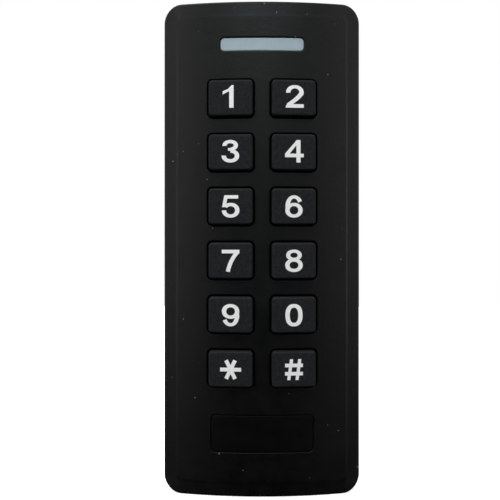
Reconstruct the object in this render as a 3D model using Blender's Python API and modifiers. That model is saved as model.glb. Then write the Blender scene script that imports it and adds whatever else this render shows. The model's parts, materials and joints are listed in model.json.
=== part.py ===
"""RFID card reader with a 2 x 6 keypad: a slim access reader that hangs on a steel wall plate.

The pieces are modelled lying on the reader's back: +X to the right, +Y towards its top, +Z out of the wall,
with the origin at the centre of the wall plate's back face. The empty reader_frame stands them up, so that in
the world +Z is up and the front faces -Y. A height below is a distance from the wall.
"""

import math

import bmesh
import bpy
from mathutils import Matrix

MM = 0.001
FIT = 0.3 * MM  # clearance between pieces that rest on each other
TOUCHING = 0.001 * MM  # points nearer than this are one point

# Case
CASE = (50.0 * MM, 124.4 * MM)
CASE_CORNER = 4.5 * MM
FACE_HEIGHT = 22.0 * MM  # highest line of the crowned face
CROWN_RADIUS = 82.0 * MM
BORDER_WIDTH = 3.75 * MM  # band round the face that slopes away to the outline
SIDE_DROP = 0.9 * MM
END_DROP = 0.12 * MM  # at the top and the bottom
EDGE_ROUND = 0.5 * MM
FRONT_WALL = 2.0 * MM
REAR_WALL = 2.6 * MM
RIM_BACK = 0.4 * MM  # the rear cover clears the wall by this much
RIM_FRONT = 8.0 * MM
PARTING = RIM_FRONT + FIT
PANEL = (3.4 * MM, 5.4 * MM)
STRIPS = [(CASE[0] / 2 - CASE_CORNER) * i / 7 for i in range(-6, 7)]  # the crown's facets
BOSS_TOP = 18.7 * MM
CASE_BOSS_RADIUS = 3.0 * MM
CASE_BORE = (1.5 * MM, 16.0 * MM)  # radius, and height of the bottom of the hole
BOARD_POST_RADIUS = 2.2 * MM
BOARD_BORE = (1.15 * MM, 17.5 * MM)
REAR_POST_RADIUS = 3.3 * MM
CASE_SCREW_HOLE = 1.6 * MM
HEAD_POCKET_RADIUS = 3.0 * MM
GROMMET_HOLE = 4.6 * MM
PHOTOCELL_HOLE = 2.8 * MM

# Gasket, on a ledge inside the rear cover's rim
LEDGE_INSET = 1.4 * MM
LEDGE_HEIGHT = 7.1 * MM
GASKET_INSET = 1.6 * MM
GASKET_WIDTH = 0.8 * MM
GASKET_HEIGHTS = (LEDGE_HEIGHT + 0.2 * MM, RIM_FRONT + 0.1 * MM)

# Keypad
KEY_NAMES = ["1", "2", "3", "4", "5", "6", "7", "8", "9", "0", "star", "hash"]
KEY_COLUMN = 7.9 * MM  # from the centre line
KEY_PITCH = 13.55 * MM
KEYPAD_Y = 3.9 * MM
KEY = (11.2 * MM, 9.15 * MM)
KEY_CORNER = 1.0 * MM
KEY_ROUND = 0.45 * MM
KEY_PROUD = 1.6 * MM
KEY_FOOT = 17.5 * MM
FLANGE_OVERHANG = 0.9 * MM
FLANGE_THICKNESS = 0.8 * MM
KEY_STOP = KEY_FOOT + FLANGE_THICKNESS + FIT  # flat underside that the flanges rest against
KEY_FRAME_MARGIN = 6.75 * MM  # beyond the middles of the outer keys
KEY_FRAME_THICKNESS = 1.6 * MM
KEY_TRAVEL = 1.0 * MM
KEY_LED = (2.0 * MM, 1.4 * MM, 0.9 * MM)

# Circuit board
BOARD = (42.0 * MM, 117.6 * MM)
BOARD_BACK = 12.0 * MM
BOARD_FRONT = 13.6 * MM
CHIP_SEAT = BOARD_BACK - 0.2 * MM
CORNERS = {"top_left": (-1, 1), "top_right": (1, 1), "bottom_left": (-1, -1), "bottom_right": (1, -1)}
CASE_SCREWS = {name: (sx * 18.3 * MM, sy * 55.8 * MM) for name, (sx, sy) in CORNERS.items()}
BOARD_SCREWS = {
    name: (sx * 18.4 * MM, (46.6 if sy > 0 else -38.6) * MM) for name, (sx, sy) in CORNERS.items()
}
BOARD_SCREW_HOLE = 1.3 * MM
BOSS_NOTCH = (14.4 * MM, 51.6 * MM)  # where the board's corners are cut away, from its middle
SCREW_SEAT = 5.6 * MM
CASE_SCREW_HEAD = (2.6 * MM, 1.5 * MM)  # radius, length
CASE_SCREW_SHANK = (1.3 * MM, 9.4 * MM)
BOARD_SCREW_HEAD = (2.0 * MM, 1.2 * MM)
BOARD_SCREW_SHANK = (1.0 * MM, 5.0 * MM)

# Chips and other components on the board's back
CONTROLLER_AT = (9.0 * MM, -20.0 * MM)
CONTROLLER = (7.0 * MM, 7.0 * MM)
RFID_CHIP_AT = (0.0, -42.0 * MM)
RFID_CHIP = (4.0 * MM, 7.2 * MM)
REGULATOR_AT = (13.0 * MM, 34.0 * MM)
REGULATOR = (6.5 * MM, 6.1 * MM, 2.3 * MM)  # width, height, thickness
REGULATOR_TAB = 5.2 * MM
CAPACITOR_AT = (-14.0 * MM, 30.0 * MM)
CAPACITOR_BASE = (6.6 * MM, 6.6 * MM)
CAPACITOR_CAN = (3.15 * MM, 5.4 * MM)  # radius, height
CRYSTAL_AT = (-9.0 * MM, -27.0 * MM)
CRYSTAL = (11.0 * MM, 4.6 * MM, 3.5 * MM)
BUZZER_AT = (0.0, 36.0 * MM)
BUZZER = (6.0 * MM, 5.5 * MM)  # radius, height
HEADER_AT = (0.0, -6.0 * MM)
HEADER = (22.4 * MM, 5.8 * MM, 5.6 * MM)
HEADER_WALL = 0.7 * MM
HEADER_FLOOR = 1.4 * MM
LEAD_HEIGHTS = (CHIP_SEAT - 0.6 * MM, CHIP_SEAT)

# Silicone keypad mat
MAT = (31.6 * MM, 81.6 * MM)
MAT_BACK = BOARD_FRONT + FIT
MAT_FRONT = MAT_BACK + 1.0 * MM
DOME_TOP = KEY_FOOT - FIT
DOME_ROOF = 16.0 * MM
STEM_FOOT = 15.3 * MM
PILL_RADIUS = 1.6 * MM
PILL_THICKNESS = 0.35 * MM
PILL_FOOT = BOARD_FRONT + KEY_TRAVEL + 0.2 * MM
DOME = (4.9 * MM, 3.1 * MM)  # outer radius at the foot and at the top
DOME_HOLLOW = (4.3 * MM, 2.5 * MM)
LIGHT_HOLE = (4.0 * MM, 3.2 * MM)

# Light bar
LIGHT_BAR_Y = 51.5 * MM
LIGHT_BAR = (21.3 * MM, 3.5 * MM)
LIGHT_BAR_CORNER = 1.1 * MM
LENS_GAP = 0.12 * MM
LENS_FLANGE = 1.2 * MM
LENS_RECESS = 0.3 * MM
LENS_FOOT = 17.0 * MM
LENS_FLANGE_FOOT = LENS_FOOT + 0.8 * MM
REFLECTOR = (23.6 * MM, 6.4 * MM)
REFLECTOR_WALL = 0.7 * MM
STATUS_LED = (3.0 * MM, 2.8 * MM, 1.9 * MM)
STATUS_LED_SPACING = 7.0 * MM

# Blank badge
BADGE_Y = -46.4 * MM
BADGE = (26.0 * MM, 9.5 * MM)
BADGE_CORNER = 1.3 * MM
BADGE_GAP = 0.25 * MM
BADGE_RECESS = 0.7 * MM
BADGE_HEIGHTS = (-0.45 * MM, -0.12 * MM)  # from the crowned face

# Antenna
COIL = (28.0 * MM, 16.0 * MM)
COIL_WIDTH = 2.4 * MM
COIL_CORNER = 4.0 * MM
COIL_FRONT = BOARD_FRONT + 2.5 * MM

# Wall plate
PLATE = (44.0 * MM, 118.0 * MM)
SHEET = 1.5 * MM
SLOT = (4.0 * MM, 9.0 * MM)
SLOT_SPACINGS = (60.0 * MM, 83.3 * MM)  # European and American wall boxes
CABLE_Y = 14.0 * MM
CABLE_OPENING = (26.0 * MM, 16.0 * MM)
HOOK_X = 12.0 * MM
HOOK_WIDTH = 8.0 * MM
HOOK_BACK = 1.6 * MM
LOCK_HEIGHT = 3.8 * MM  # the security screw's axis
LOCK_TONGUE = (10.0 * MM, 6.0 * MM)  # width, height
LOCK_TONGUE_Y = REAR_WALL - CASE[1] / 2 + 0.7 * MM
LOCK_THREAD = 1.6 * MM
LOCK_SCREW_HEAD = (2.6 * MM, 1.0 * MM)
LOCK_SCREW_SHANK = (1.4 * MM, 5.0 * MM)
LOCK_SCREW_HOLE = 1.7 * MM
LOCK_HEAD_WELL = (2.9 * MM, 1.4 * MM)  # radius, depth
LOCK_HOUSING_END = -54.0 * MM
LOCK_HOUSING_WIDTH = 14.0 * MM
LOCK_HOUSING_HEIGHTS = (4.4 * MM, 7.0 * MM)
LOCK_POCKET_END = -55.4 * MM
LOCK_POCKET_TOP = 6.3 * MM
HOOK_END = CASE[1] / 2 - 1.3 * MM
HOOK_POCKET_DEPTH = 1.6 * MM
PHOTOCELL_X = 9.5 * MM

OUTSIDE = 30.0 * MM  # beyond the front of everything
BEHIND = -3.0 * MM  # beyond the wall


def crown(x):
    """Height of the crowned face inside its border."""
    return FACE_HEIGHT - (CROWN_RADIUS - math.sqrt(CROWN_RADIUS**2 - x**2))


def crown_slope(x):
    return -x / math.sqrt(CROWN_RADIUS**2 - x**2)


def grown(size, by):
    return (size[0] + 2 * by, size[1] + 2 * by)


def rounded_rectangle(size, radius, corner_steps):
    """Points of the outline, counter-clockwise from the right-hand side of the top right corner."""
    half_x, half_y = size[0] / 2 - radius, size[1] / 2 - radius
    points = []
    for quarter, (sx, sy) in enumerate(((1, 1), (-1, 1), (-1, -1), (1, -1))):
        for step in range(corner_steps + 1):
            angle = math.pi / 2 * (quarter + step / corner_steps)
            points.append((sx * half_x + radius * math.cos(angle), sy * half_y + radius * math.sin(angle)))
    return points


def slab(size, radius, low, high, at=(0.0, 0.0), corner_steps=3):
    """A rounded rectangle, extruded from one height to another."""
    curve = bpy.data.curves.new("outline", "CURVE")
    curve.dimensions = "2D"
    curve.fill_mode = "BOTH"
    curve.extrude = (high - low) / 2
    points = rounded_rectangle(size, radius, corner_steps)
    spline = curve.splines.new("POLY")
    spline.points.add(len(points) - 1)
    spline.use_cyclic_u = True
    for point, (x, y) in zip(spline.points, points):
        point.co = (x + at[0], y + at[1], 0.0, 1.0)
    outline = bpy.data.objects.new("outline", curve)
    bpy.data.collections["cutters"].objects.link(outline)
    evaluated = outline.evaluated_get(bpy.context.evaluated_depsgraph_get())
    mesh = bpy.data.meshes.new_from_object(evaluated)
    shape = bmesh.new()
    shape.from_mesh(mesh)
    bmesh.ops.remove_doubles(shape, verts=shape.verts, dist=TOUCHING)
    bmesh.ops.dissolve_limit(
        shape, angle_limit=math.radians(1), verts=shape.verts, edges=shape.edges, delimit={"NORMAL"}
    )
    bmesh.ops.translate(shape, verts=shape.verts, vec=(0, 0, (high + low) / 2))
    bpy.data.objects.remove(outline)
    bpy.data.curves.remove(curve)
    bpy.data.meshes.remove(mesh)
    return shape


def rod(at, radius, low, high, top_radius=None, segments=12):
    """A cylinder, or a cone where top_radius is given."""
    shape = bmesh.new()
    bmesh.ops.create_cone(
        shape,
        cap_ends=True,
        segments=segments,
        radius1=radius,
        radius2=radius if top_radius is None else top_radius,
        depth=high - low,
        matrix=Matrix.Translation((*at, (high + low) / 2)),
    )
    return shape


def rod_along_y(x, height, radius, low, high):
    shape = rod((0.0, 0.0), radius, low, high, segments=16)
    place = Matrix.Translation((x, 0.0, height)) @ Matrix.Rotation(-math.pi / 2, 4, "X")
    bmesh.ops.transform(shape, matrix=place, verts=shape.verts)
    return shape


def box(x_range, y_range, z_range):
    ranges = (x_range, y_range, z_range)
    middle = [(low + high) / 2 for low, high in ranges]
    sides = [high - low for low, high in ranges]
    shape = bmesh.new()
    place = Matrix.Translation(middle) @ Matrix.Diagonal((*sides, 1.0))
    bmesh.ops.create_cube(shape, size=1.0, matrix=place)
    return shape


def about(middle, width):
    """The range of this width round a middle."""
    return (middle - width / 2, middle + width / 2)


def flat_side(shape, level):
    return [f for f in shape.faces if all(abs(v.co.z - level) < 10 * TOUCHING for v in f.verts)]


def crowned(shape, level, offset):
    """Bends a slab's flat side to follow the crowned face, at this offset from it."""
    for x in STRIPS:
        faces = flat_side(shape, level)
        edges = {edge for face in faces for edge in face.edges}
        points = {point for face in faces for point in face.verts}
        bmesh.ops.bisect_plane(
            shape, geom=[*points, *edges, *faces], dist=TOUCHING, plane_co=(x, 0, 0), plane_no=(1, 0, 0)
        )
    for point in {point for face in flat_side(shape, level) for point in face.verts}:
        point.co.z = crown(point.co.x) + offset
    return shape


def mesh_of(name, shapes):
    """One mesh of several closed shapes."""
    whole = bmesh.new()
    for shape in shapes:
        part = bpy.data.meshes.new("shape")
        shape.to_mesh(part)
        shape.free()
        whole.from_mesh(part)
        bpy.data.meshes.remove(part)
    mesh = bpy.data.meshes.new(name)
    whole.to_mesh(mesh)
    whole.free()
    mesh.shade_smooth()
    mesh.set_sharp_from_angle(angle=math.radians(30))
    return mesh


def piece(name, shape, material, at=(0.0, 0.0)):
    """A named object of the reader, whose own origin is at this place."""
    made = bpy.data.objects.new(name, mesh_of(name, [shape]))
    made.data.materials.append(material)
    made.location = (*at, 0.0)
    made.parent = bpy.data.objects["reader_frame"]
    bpy.data.collections["rfid_card_reader"].objects.link(made)
    return made


def combine(target, operation, label, shapes):
    """One Boolean between a piece and some shapes, which are placed in the piece's own coordinates."""
    name = f"{target.name}_{label}"
    tool = bpy.data.objects.new(name, mesh_of(name, shapes))
    tool.parent = target
    tool.hide_render = True
    tool.display_type = "WIRE"
    bpy.data.collections["cutters"].objects.link(tool)
    modifier = target.modifiers.new(label, "BOOLEAN")
    modifier.operation = operation
    modifier.solver = "EXACT"
    modifier.object = tool


def add(target, label, shapes):
    combine(target, "UNION", label, shapes)


def cut(target, label, shapes):
    combine(target, "DIFFERENCE", label, shapes)


def bevel(target, width, segments, by="ANGLE"):
    modifier = target.modifiers.new("rounded_edges", "BEVEL")
    modifier.width = width
    modifier.segments = segments
    modifier.limit_method = by
    modifier.angle_limit = math.radians(40)
    modifier.use_clamp_overlap = False


def turned(name, profile, material, at, rotation=(0.0, 0.0, 0.0), closed=False, steps=16):
    """A piece turned about its own Z, from (radius, height) pairs that run down its outer side."""
    count = len(profile)
    edges = [(i, (i + 1) % count) for i in range(count if closed else count - 1)]
    mesh = bpy.data.meshes.new(name)
    mesh.from_pydata([(radius, 0.0, height) for radius, height in profile], edges, [])
    made = bpy.data.objects.new(name, mesh)
    mesh.materials.append(material)
    made.location = at
    made.rotation_euler = rotation
    made.parent = bpy.data.objects["reader_frame"]
    bpy.data.collections["rfid_card_reader"].objects.link(made)
    screw = made.modifiers.new("turn", "SCREW")
    screw.steps = screw.render_steps = steps
    screw.use_merge_vertices = True
    screw.merge_threshold = TOUCHING
    return made


def finish(name, colour, roughness, metallic=0.0):
    made = bpy.data.materials.new(name)
    made.use_nodes = True
    shader = made.node_tree.nodes["Principled BSDF"]
    shader.inputs["Base Color"].default_value = (*colour, 1.0)
    shader.inputs["Roughness"].default_value = roughness
    shader.inputs["Metallic"].default_value = metallic
    return made


def key_places():
    """(name, x, y) of each key, row by row from the top left."""
    for index, name in enumerate(KEY_NAMES):
        row, column = divmod(index, 2)
        yield name, (2 * column - 1) * KEY_COLUMN, KEYPAD_Y + (2.5 - row) * KEY_PITCH


def backlight_places():
    """Each is in the middle of four keys."""
    return [(0.0, KEYPAD_Y + rows * KEY_PITCH) for rows in (2, 0, -2)]


def border_drop(x, y):
    """How far the border's outer edge lies below the crown."""
    beyond = [max(0.0, abs(v) - side / 2 + CASE_CORNER) for v, side in zip((x, y), CASE)]
    side_share = beyond[0] ** 2 / (beyond[0] ** 2 + beyond[1] ** 2)
    return END_DROP + (SIDE_DROP - END_DROP) * side_share


def front_shell():
    """An open shell: the crowned face, its sloping border, and the side walls down to the parting line."""
    shell = slab(CASE, CASE_CORNER, PARTING, FACE_HEIGHT, corner_steps=5)
    rounding = shell.edges.layers.float.new("bevel_weight_edge")
    bmesh.ops.delete(shell, geom=flat_side(shell, PARTING), context="FACES")
    walls = set(shell.faces) - set(flat_side(shell, FACE_HEIGHT))
    bmesh.ops.inset_region(shell, faces=flat_side(shell, FACE_HEIGHT), thickness=BORDER_WIDTH)
    crowned(shell, FACE_HEIGHT, 0.0)
    rim = {point for face in walls for point in face.verts if point.co.z > PARTING + MM}
    for point in rim:
        point.co.z -= border_drop(point.co.x, point.co.y)
    for edge in shell.edges:
        if rim.issuperset(edge.verts):
            edge[rounding] = 1.0
    return shell


def build_front_cover(material):
    """Shell with key wells, the light bar's window, the badge's recess, screw bosses and board posts."""
    cover = piece("front_cover", front_shell(), material)
    wall = cover.modifiers.new("wall", "SOLIDIFY")
    wall.thickness = FRONT_WALL
    wall.offset = -1.0
    wall.use_even_offset = True
    bevel(cover, EDGE_ROUND, 2, by="WEIGHT")

    key_frame_size = (MAT[0], 5 * KEY_PITCH + 2 * KEY_FRAME_MARGIN)
    key_frame = slab(key_frame_size, MM, KEY_STOP, KEY_STOP + KEY_FRAME_THICKNESS, (0.0, KEYPAD_Y))
    bosses = [rod(at, CASE_BOSS_RADIUS, PARTING, BOSS_TOP) for at in CASE_SCREWS.values()]
    posts = [rod(at, BOARD_POST_RADIUS, BOARD_FRONT + FIT, BOSS_TOP) for at in BOARD_SCREWS.values()]
    add(cover, "supports", [key_frame, *bosses, *posts])

    well = grown(KEY, FIT)
    inside = KEY_FOOT - MM
    openings = [slab(well, KEY_CORNER + FIT, inside, OUTSIDE, (x, y)) for _, x, y in key_places()]
    openings.append(slab(LIGHT_BAR, LIGHT_BAR_CORNER, inside, OUTSIDE, (0.0, LIGHT_BAR_Y)))
    recess = slab(BADGE, BADGE_CORNER, FACE_HEIGHT, OUTSIDE, (0.0, BADGE_Y))
    openings.append(crowned(recess, FACE_HEIGHT, -BADGE_RECESS))
    openings += [rod(at, CASE_BORE[0], RIM_BACK, CASE_BORE[1]) for at in CASE_SCREWS.values()]
    openings += [rod(at, BOARD_BORE[0], BOARD_BACK, BOARD_BORE[1]) for at in BOARD_SCREWS.values()]
    cut(cover, "openings", openings)


def build_rear_cover(material):
    """Tub that closes the case. The wall plate sits in a recess behind its panel."""
    cover = piece("rear_cover", slab(CASE, CASE_CORNER, RIM_BACK, RIM_FRONT, corner_steps=5), material)
    bevel(cover, EDGE_ROUND, 2)
    wall_inside = grown(CASE, -REAR_WALL)
    corner = CASE_CORNER - REAR_WALL
    behind_panel = slab(wall_inside, corner, BEHIND, PANEL[0])
    before_panel = slab(wall_inside, corner, PANEL[1], LEDGE_HEIGHT + MM)
    cut(cover, "hollows", [behind_panel, before_panel])
    inside_ledge = grown(CASE, -LEDGE_INSET)
    ledge = slab(inside_ledge, CASE_CORNER - LEDGE_INSET, LEDGE_HEIGHT, OUTSIDE, corner_steps=5)
    cut(cover, "ledge", [ledge])

    bottom, inner_edge = -CASE[1] / 2, CASE[1] / 2 - REAR_WALL
    posts = [rod(at, REAR_POST_RADIUS, PANEL[1] - MM, RIM_FRONT) for at in CASE_SCREWS.values()]
    housing_y = (-inner_edge - MM, LOCK_HOUSING_END)
    lock_housing = box(about(0.0, LOCK_HOUSING_WIDTH), housing_y, LOCK_HOUSING_HEIGHTS)
    add(cover, "supports", [*posts, lock_housing])

    screw_holes = [rod(at, CASE_SCREW_HOLE, PANEL[0] - MM, OUTSIDE) for at in CASE_SCREWS.values()]
    grommet_hole = rod((0.0, CABLE_Y), GROMMET_HOLE, PANEL[0] - MM, PANEL[1] + MM, segments=24)
    photocell_hole = rod((PHOTOCELL_X, CABLE_Y), PHOTOCELL_HOLE, PANEL[0] - MM, PANEL[1] + MM)
    cut(cover, "through_holes", [*screw_holes, grommet_hole, photocell_hole])

    head_pockets = [
        rod(at, HEAD_POCKET_RADIUS, PANEL[0] - MM, SCREW_SEAT) for at in CASE_SCREWS.values()
    ]
    lock_pocket_width = LOCK_TONGUE[0] + 2 * MM
    lock_pocket = box(
        about(0.0, lock_pocket_width), (-inner_edge, LOCK_POCKET_END), (BEHIND, LOCK_POCKET_TOP)
    )
    hook_pockets = [
        box(
            about(sx * HOOK_X, HOOK_WIDTH + 2 * FIT),
            (inner_edge - 0.5 * MM, inner_edge + HOOK_POCKET_DEPTH),
            (HOOK_BACK - FIT, PANEL[0]),
        )
        for sx in (-1, 1)
    ]
    cut(cover, "pockets", [*head_pockets, lock_pocket, *hook_pockets])
    lock_screw_hole = rod_along_y(0.0, LOCK_HEIGHT, LOCK_SCREW_HOLE, bottom - MM, -inner_edge + MM)
    cut(cover, "lock_screw_hole", [lock_screw_hole])
    radius, depth = LOCK_HEAD_WELL
    lock_head_well = rod_along_y(0.0, LOCK_HEIGHT, radius, bottom - MM, bottom + depth)
    cut(cover, "lock_head_well", [lock_head_well])


def build_gasket(material):
    size = grown(CASE, -GASKET_INSET)
    corner = CASE_CORNER - GASKET_INSET
    gasket = piece("case_gasket", slab(size, corner, *GASKET_HEIGHTS), material)
    cut(gasket, "inside", [slab(grown(size, -GASKET_WIDTH), corner - GASKET_WIDTH, BEHIND, OUTSIDE)])


def led(size, corner):
    """A light's body on the board. size is its width, height and thickness."""
    return slab(size[:2], corner, BOARD_FRONT + FIT, BOARD_FRONT + size[2], corner_steps=1)


def build_light_bar(lens_material, reflector_material, led_material):
    """Lens with its retaining flange, the white frame behind it, and the three lights in the frame."""
    at = (0.0, LIGHT_BAR_Y)
    body = grown(LIGHT_BAR, -LENS_GAP)
    lens_shape = slab(body, LIGHT_BAR_CORNER, LENS_FOOT, FACE_HEIGHT, at)
    lens = piece("light_bar_lens", crowned(lens_shape, FACE_HEIGHT, -LENS_RECESS), lens_material)
    flange = slab(grown(body, LENS_FLANGE), MM, LENS_FLANGE_FOOT, FACE_HEIGHT, at)
    add(lens, "flange", [crowned(flange, FACE_HEIGHT, -FRONT_WALL - FIT)])

    frame = slab(REFLECTOR, MM, BOARD_FRONT + FIT, LENS_FOOT + 0.5 * MM, at)
    reflector = piece("light_bar_reflector", frame, reflector_material)
    cut(reflector, "inside", [slab(grown(REFLECTOR, -REFLECTOR_WALL), 0.5 * MM, BEHIND, OUTSIDE, at)])
    for number in (1, 2, 3):
        place = ((number - 2) * STATUS_LED_SPACING, LIGHT_BAR_Y)
        piece(f"status_led_{number}", led(STATUS_LED, 0.3 * MM), led_material, place)


def build_badge(material):
    """Blank panel, just under the face."""
    low, high = BADGE_HEIGHTS
    size = grown(BADGE, -BADGE_GAP)
    shape = slab(size, BADGE_CORNER, PARTING, FACE_HEIGHT, (0.0, BADGE_Y))
    crowned(shape, FACE_HEIGHT, high)
    piece("badge_insert", crowned(shape, PARTING, low), material)


def build_key(name, x, y, key_material, pill_material):
    """A cap that leans with the crown, on a flange that keeps it in, and the carbon pill that it presses."""
    top = crown(x) + KEY_PROUD
    shape = slab(KEY, KEY_CORNER, KEY_FOOT + FLANGE_THICKNESS / 2, top)
    for face in flat_side(shape, top):
        for point in face.verts:
            point.co.z += point.co.x * crown_slope(x)
    cap = piece(f"keycap_{name}", shape, key_material, (x, y))
    bevel(cap, KEY_ROUND, 2)
    flange_size = grown(KEY, FLANGE_OVERHANG)
    flange = slab(flange_size, KEY_CORNER, KEY_FOOT, KEY_FOOT + FLANGE_THICKNESS)
    add(cap, "flange", [flange])
    pill = rod((0.0, 0.0), PILL_RADIUS, PILL_FOOT, PILL_FOOT + PILL_THICKNESS)
    piece(f"contact_pill_{name}", pill, pill_material, (x, y))


def build_keypad_mat(material):
    """Silicone mat with a hollow dome under each key. Each dome has a stem for its carbon pill."""
    mat = piece("keypad_membrane", slab(MAT, 2.0 * MM, MAT_BACK, MAT_FRONT, (0.0, KEYPAD_Y)), material)
    places = [(x, y) for _, x, y in key_places()]
    add(mat, "domes", [rod(at, DOME[0], MAT_FRONT - 0.4 * MM, DOME_TOP, DOME[1]) for at in places])
    hollows = [rod(at, DOME_HOLLOW[0], MAT_BACK - MM, DOME_ROOF, DOME_HOLLOW[1]) for at in places]
    light_holes = [slab(LIGHT_HOLE, 0.5 * MM, BEHIND, OUTSIDE, at) for at in backlight_places()]
    cut(mat, "hollows", [*hollows, *light_holes])
    stems = [rod(at, PILL_RADIUS, STEM_FOOT, DOME_ROOF + 0.6 * MM) for at in places]
    add(mat, "stems", stems)


def build_board(board_material, led_material):
    """Board with notches for the case's bosses and holes for its own screws, and the keypad's lights."""
    board = piece("main_board", slab(BOARD, MM, BOARD_BACK, BOARD_FRONT), board_material)
    notches = [
        box(
            sorted((sx * BOSS_NOTCH[0], sx * BOARD[0])),
            sorted((sy * BOSS_NOTCH[1], sy * BOARD[1])),
            (BOARD_BACK - MM, BOARD_FRONT + MM),
        )
        for sx, sy in CORNERS.values()
    ]
    holes = [rod(at, BOARD_SCREW_HOLE, BEHIND, OUTSIDE) for at in BOARD_SCREWS.values()]
    cut(board, "outline", [*notches, *holes])
    for number, at in enumerate(backlight_places(), start=1):
        piece(f"key_backlight_{number}", led(KEY_LED, 0.2 * MM), led_material, at)


def build_antenna(material):
    """Wound coil on the front of the board, behind the badge."""
    at = (0.0, BADGE_Y)
    coil = piece("antenna_coil", slab(COIL, COIL_CORNER, BOARD_FRONT + FIT, COIL_FRONT, at), material)
    cut(coil, "inside", [slab(grown(COIL, -COIL_WIDTH), COIL_CORNER - COIL_WIDTH, BEHIND, OUTSIDE, at)])


def build_chip(name, at, size, thickness, leads, material):
    """A chip on the board's back. leads is how many it has on each side, and on its top and bottom."""
    body = slab(size, 0.25 * MM, CHIP_SEAT - thickness, CHIP_SEAT - 0.1 * MM, corner_steps=1)
    chip = piece(name, body, material, at)
    pitch, lead_width, reach = 0.8 * MM, 0.36 * MM, 0.9 * MM
    shapes = []
    for side, count in enumerate(leads):
        inner, outer = size[side] / 2 - 0.3 * MM, size[side] / 2 + reach
        for index in range(count):
            along = about((index - (count - 1) / 2) * pitch, lead_width)
            for sign in (-1, 1):
                out = sorted((sign * inner, sign * outer))
                across, up = (out, along) if side == 0 else (along, out)
                shapes.append(box(across, up, LEAD_HEIGHTS))
    add(chip, "leads", shapes)


def build_regulator(material):
    """Voltage regulator with its cooling tab and two leads."""
    back = CHIP_SEAT - REGULATOR[2]
    body = slab(REGULATOR[:2], 0.3 * MM, back, CHIP_SEAT - 0.1 * MM, corner_steps=1)
    regulator = piece("voltage_regulator", body, material, REGULATOR_AT)
    tab = box(about(0.0, REGULATOR_TAB), (2.0 * MM, 4.4 * MM), LEAD_HEIGHTS)
    leads = [
        box(about(sx * 2.3 * MM, 0.8 * MM), (-5.2 * MM, -2.5 * MM), LEAD_HEIGHTS) for sx in (-1, 1)
    ]
    add(regulator, "tab_and_leads", [tab, *leads])


def build_capacitor(material):
    """Aluminium can on a square base."""
    base = slab(CAPACITOR_BASE, 0.8 * MM, CHIP_SEAT - MM, CHIP_SEAT, corner_steps=1)
    capacitor = piece("filter_capacitor", base, material, CAPACITOR_AT)
    radius, height = CAPACITOR_CAN
    add(capacitor, "can", [rod((0.0, 0.0), radius, CHIP_SEAT - height, CHIP_SEAT - 0.6 * MM)])


def build_crystal(material):
    can = slab(CRYSTAL[:2], 2.2 * MM, CHIP_SEAT - CRYSTAL[2], CHIP_SEAT)
    piece("clock_crystal", can, material, CRYSTAL_AT)


def build_buzzer(material):
    """Round sounder with a sound hole in its lid."""
    radius, height = BUZZER
    can = rod((0.0, 0.0), radius, CHIP_SEAT - height, CHIP_SEAT, segments=24)
    buzzer = piece("buzzer", can, material, BUZZER_AT)
    cut(buzzer, "sound_hole", [rod((0.0, 0.0), MM, BEHIND, CHIP_SEAT - 4.0 * MM)])


def build_wire_header(material):
    """Shrouded eight-pin socket for the wall cable's plug."""
    size = HEADER[:2]
    foot = CHIP_SEAT - HEADER[2]
    shroud = slab(size, 0.4 * MM, foot, CHIP_SEAT, corner_steps=1)
    header = piece("wire_header", shroud, material, HEADER_AT)
    floor = CHIP_SEAT - HEADER_FLOOR
    cut(header, "socket", [slab(grown(size, -HEADER_WALL), 0.3 * MM, BEHIND, floor, corner_steps=1)])
    pitch, pin = 2.5 * MM, 0.64 * MM
    pins = [
        box(about((i - 3.5) * pitch, pin), about(0.0, pin), (foot + 0.6 * MM, floor + 0.4 * MM))
        for i in range(8)
    ]
    add(header, "pins", pins)


def build_photocell(material):
    """Light sensor in the rear panel: it sees light when the reader is pulled off the wall."""
    body = rod((0.0, 0.0), 2.5 * MM, 3.6 * MM, 5.8 * MM)
    cell = piece("tamper_photocell", body, material, (PHOTOCELL_X, CABLE_Y))
    legs = [rod((sx * 1.7 * MM, 0.0), 0.3 * MM, 5.4 * MM, CHIP_SEAT, segments=8) for sx in (-1, 1)]
    add(cell, "legs", legs)


def build_grommet(material):
    """Rubber bush, grooved round its waist to grip the rear panel."""
    bore, waist, rim = 3.3 * MM, 4.3 * MM, 5.8 * MM
    outer_end, inner_end = 2.0 * MM, 6.8 * MM
    profile = [
        (bore, inner_end),
        (rim - 0.6 * MM, inner_end),
        (rim - 0.3 * MM, PANEL[1] + FIT),
        (waist, PANEL[1] + FIT),
        (waist, PANEL[0] - FIT),
        (rim, PANEL[0] - FIT),
        (rim, outer_end + 0.4 * MM),
        (rim - 0.4 * MM, outer_end),
        (bore, outer_end),
    ]
    turned("cable_grommet", profile, material, (0.0, CABLE_Y, 0.0), closed=True, steps=24)


def build_screw(name, at, rotation, head, shank, material):
    """Cheese-head screw with a hexagonal socket, along its -Z. head and shank are (radius, length)."""
    chamfer = 0.35 * MM
    profile = [
        (0.0, head[1]),
        (head[0] - chamfer, head[1]),
        (head[0], head[1] - chamfer),
        (head[0], 0.0),
        (shank[0], 0.0),
        (shank[0], chamfer - shank[1]),
        (shank[0] - chamfer, -shank[1]),
        (0.0, -shank[1]),
    ]
    screw = turned(name, profile, material, at, rotation, steps=12)
    cut(screw, "socket", [rod((0.0, 0.0), 0.45 * head[0], 0.3 * head[1], 2 * head[1], segments=6)])


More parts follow.
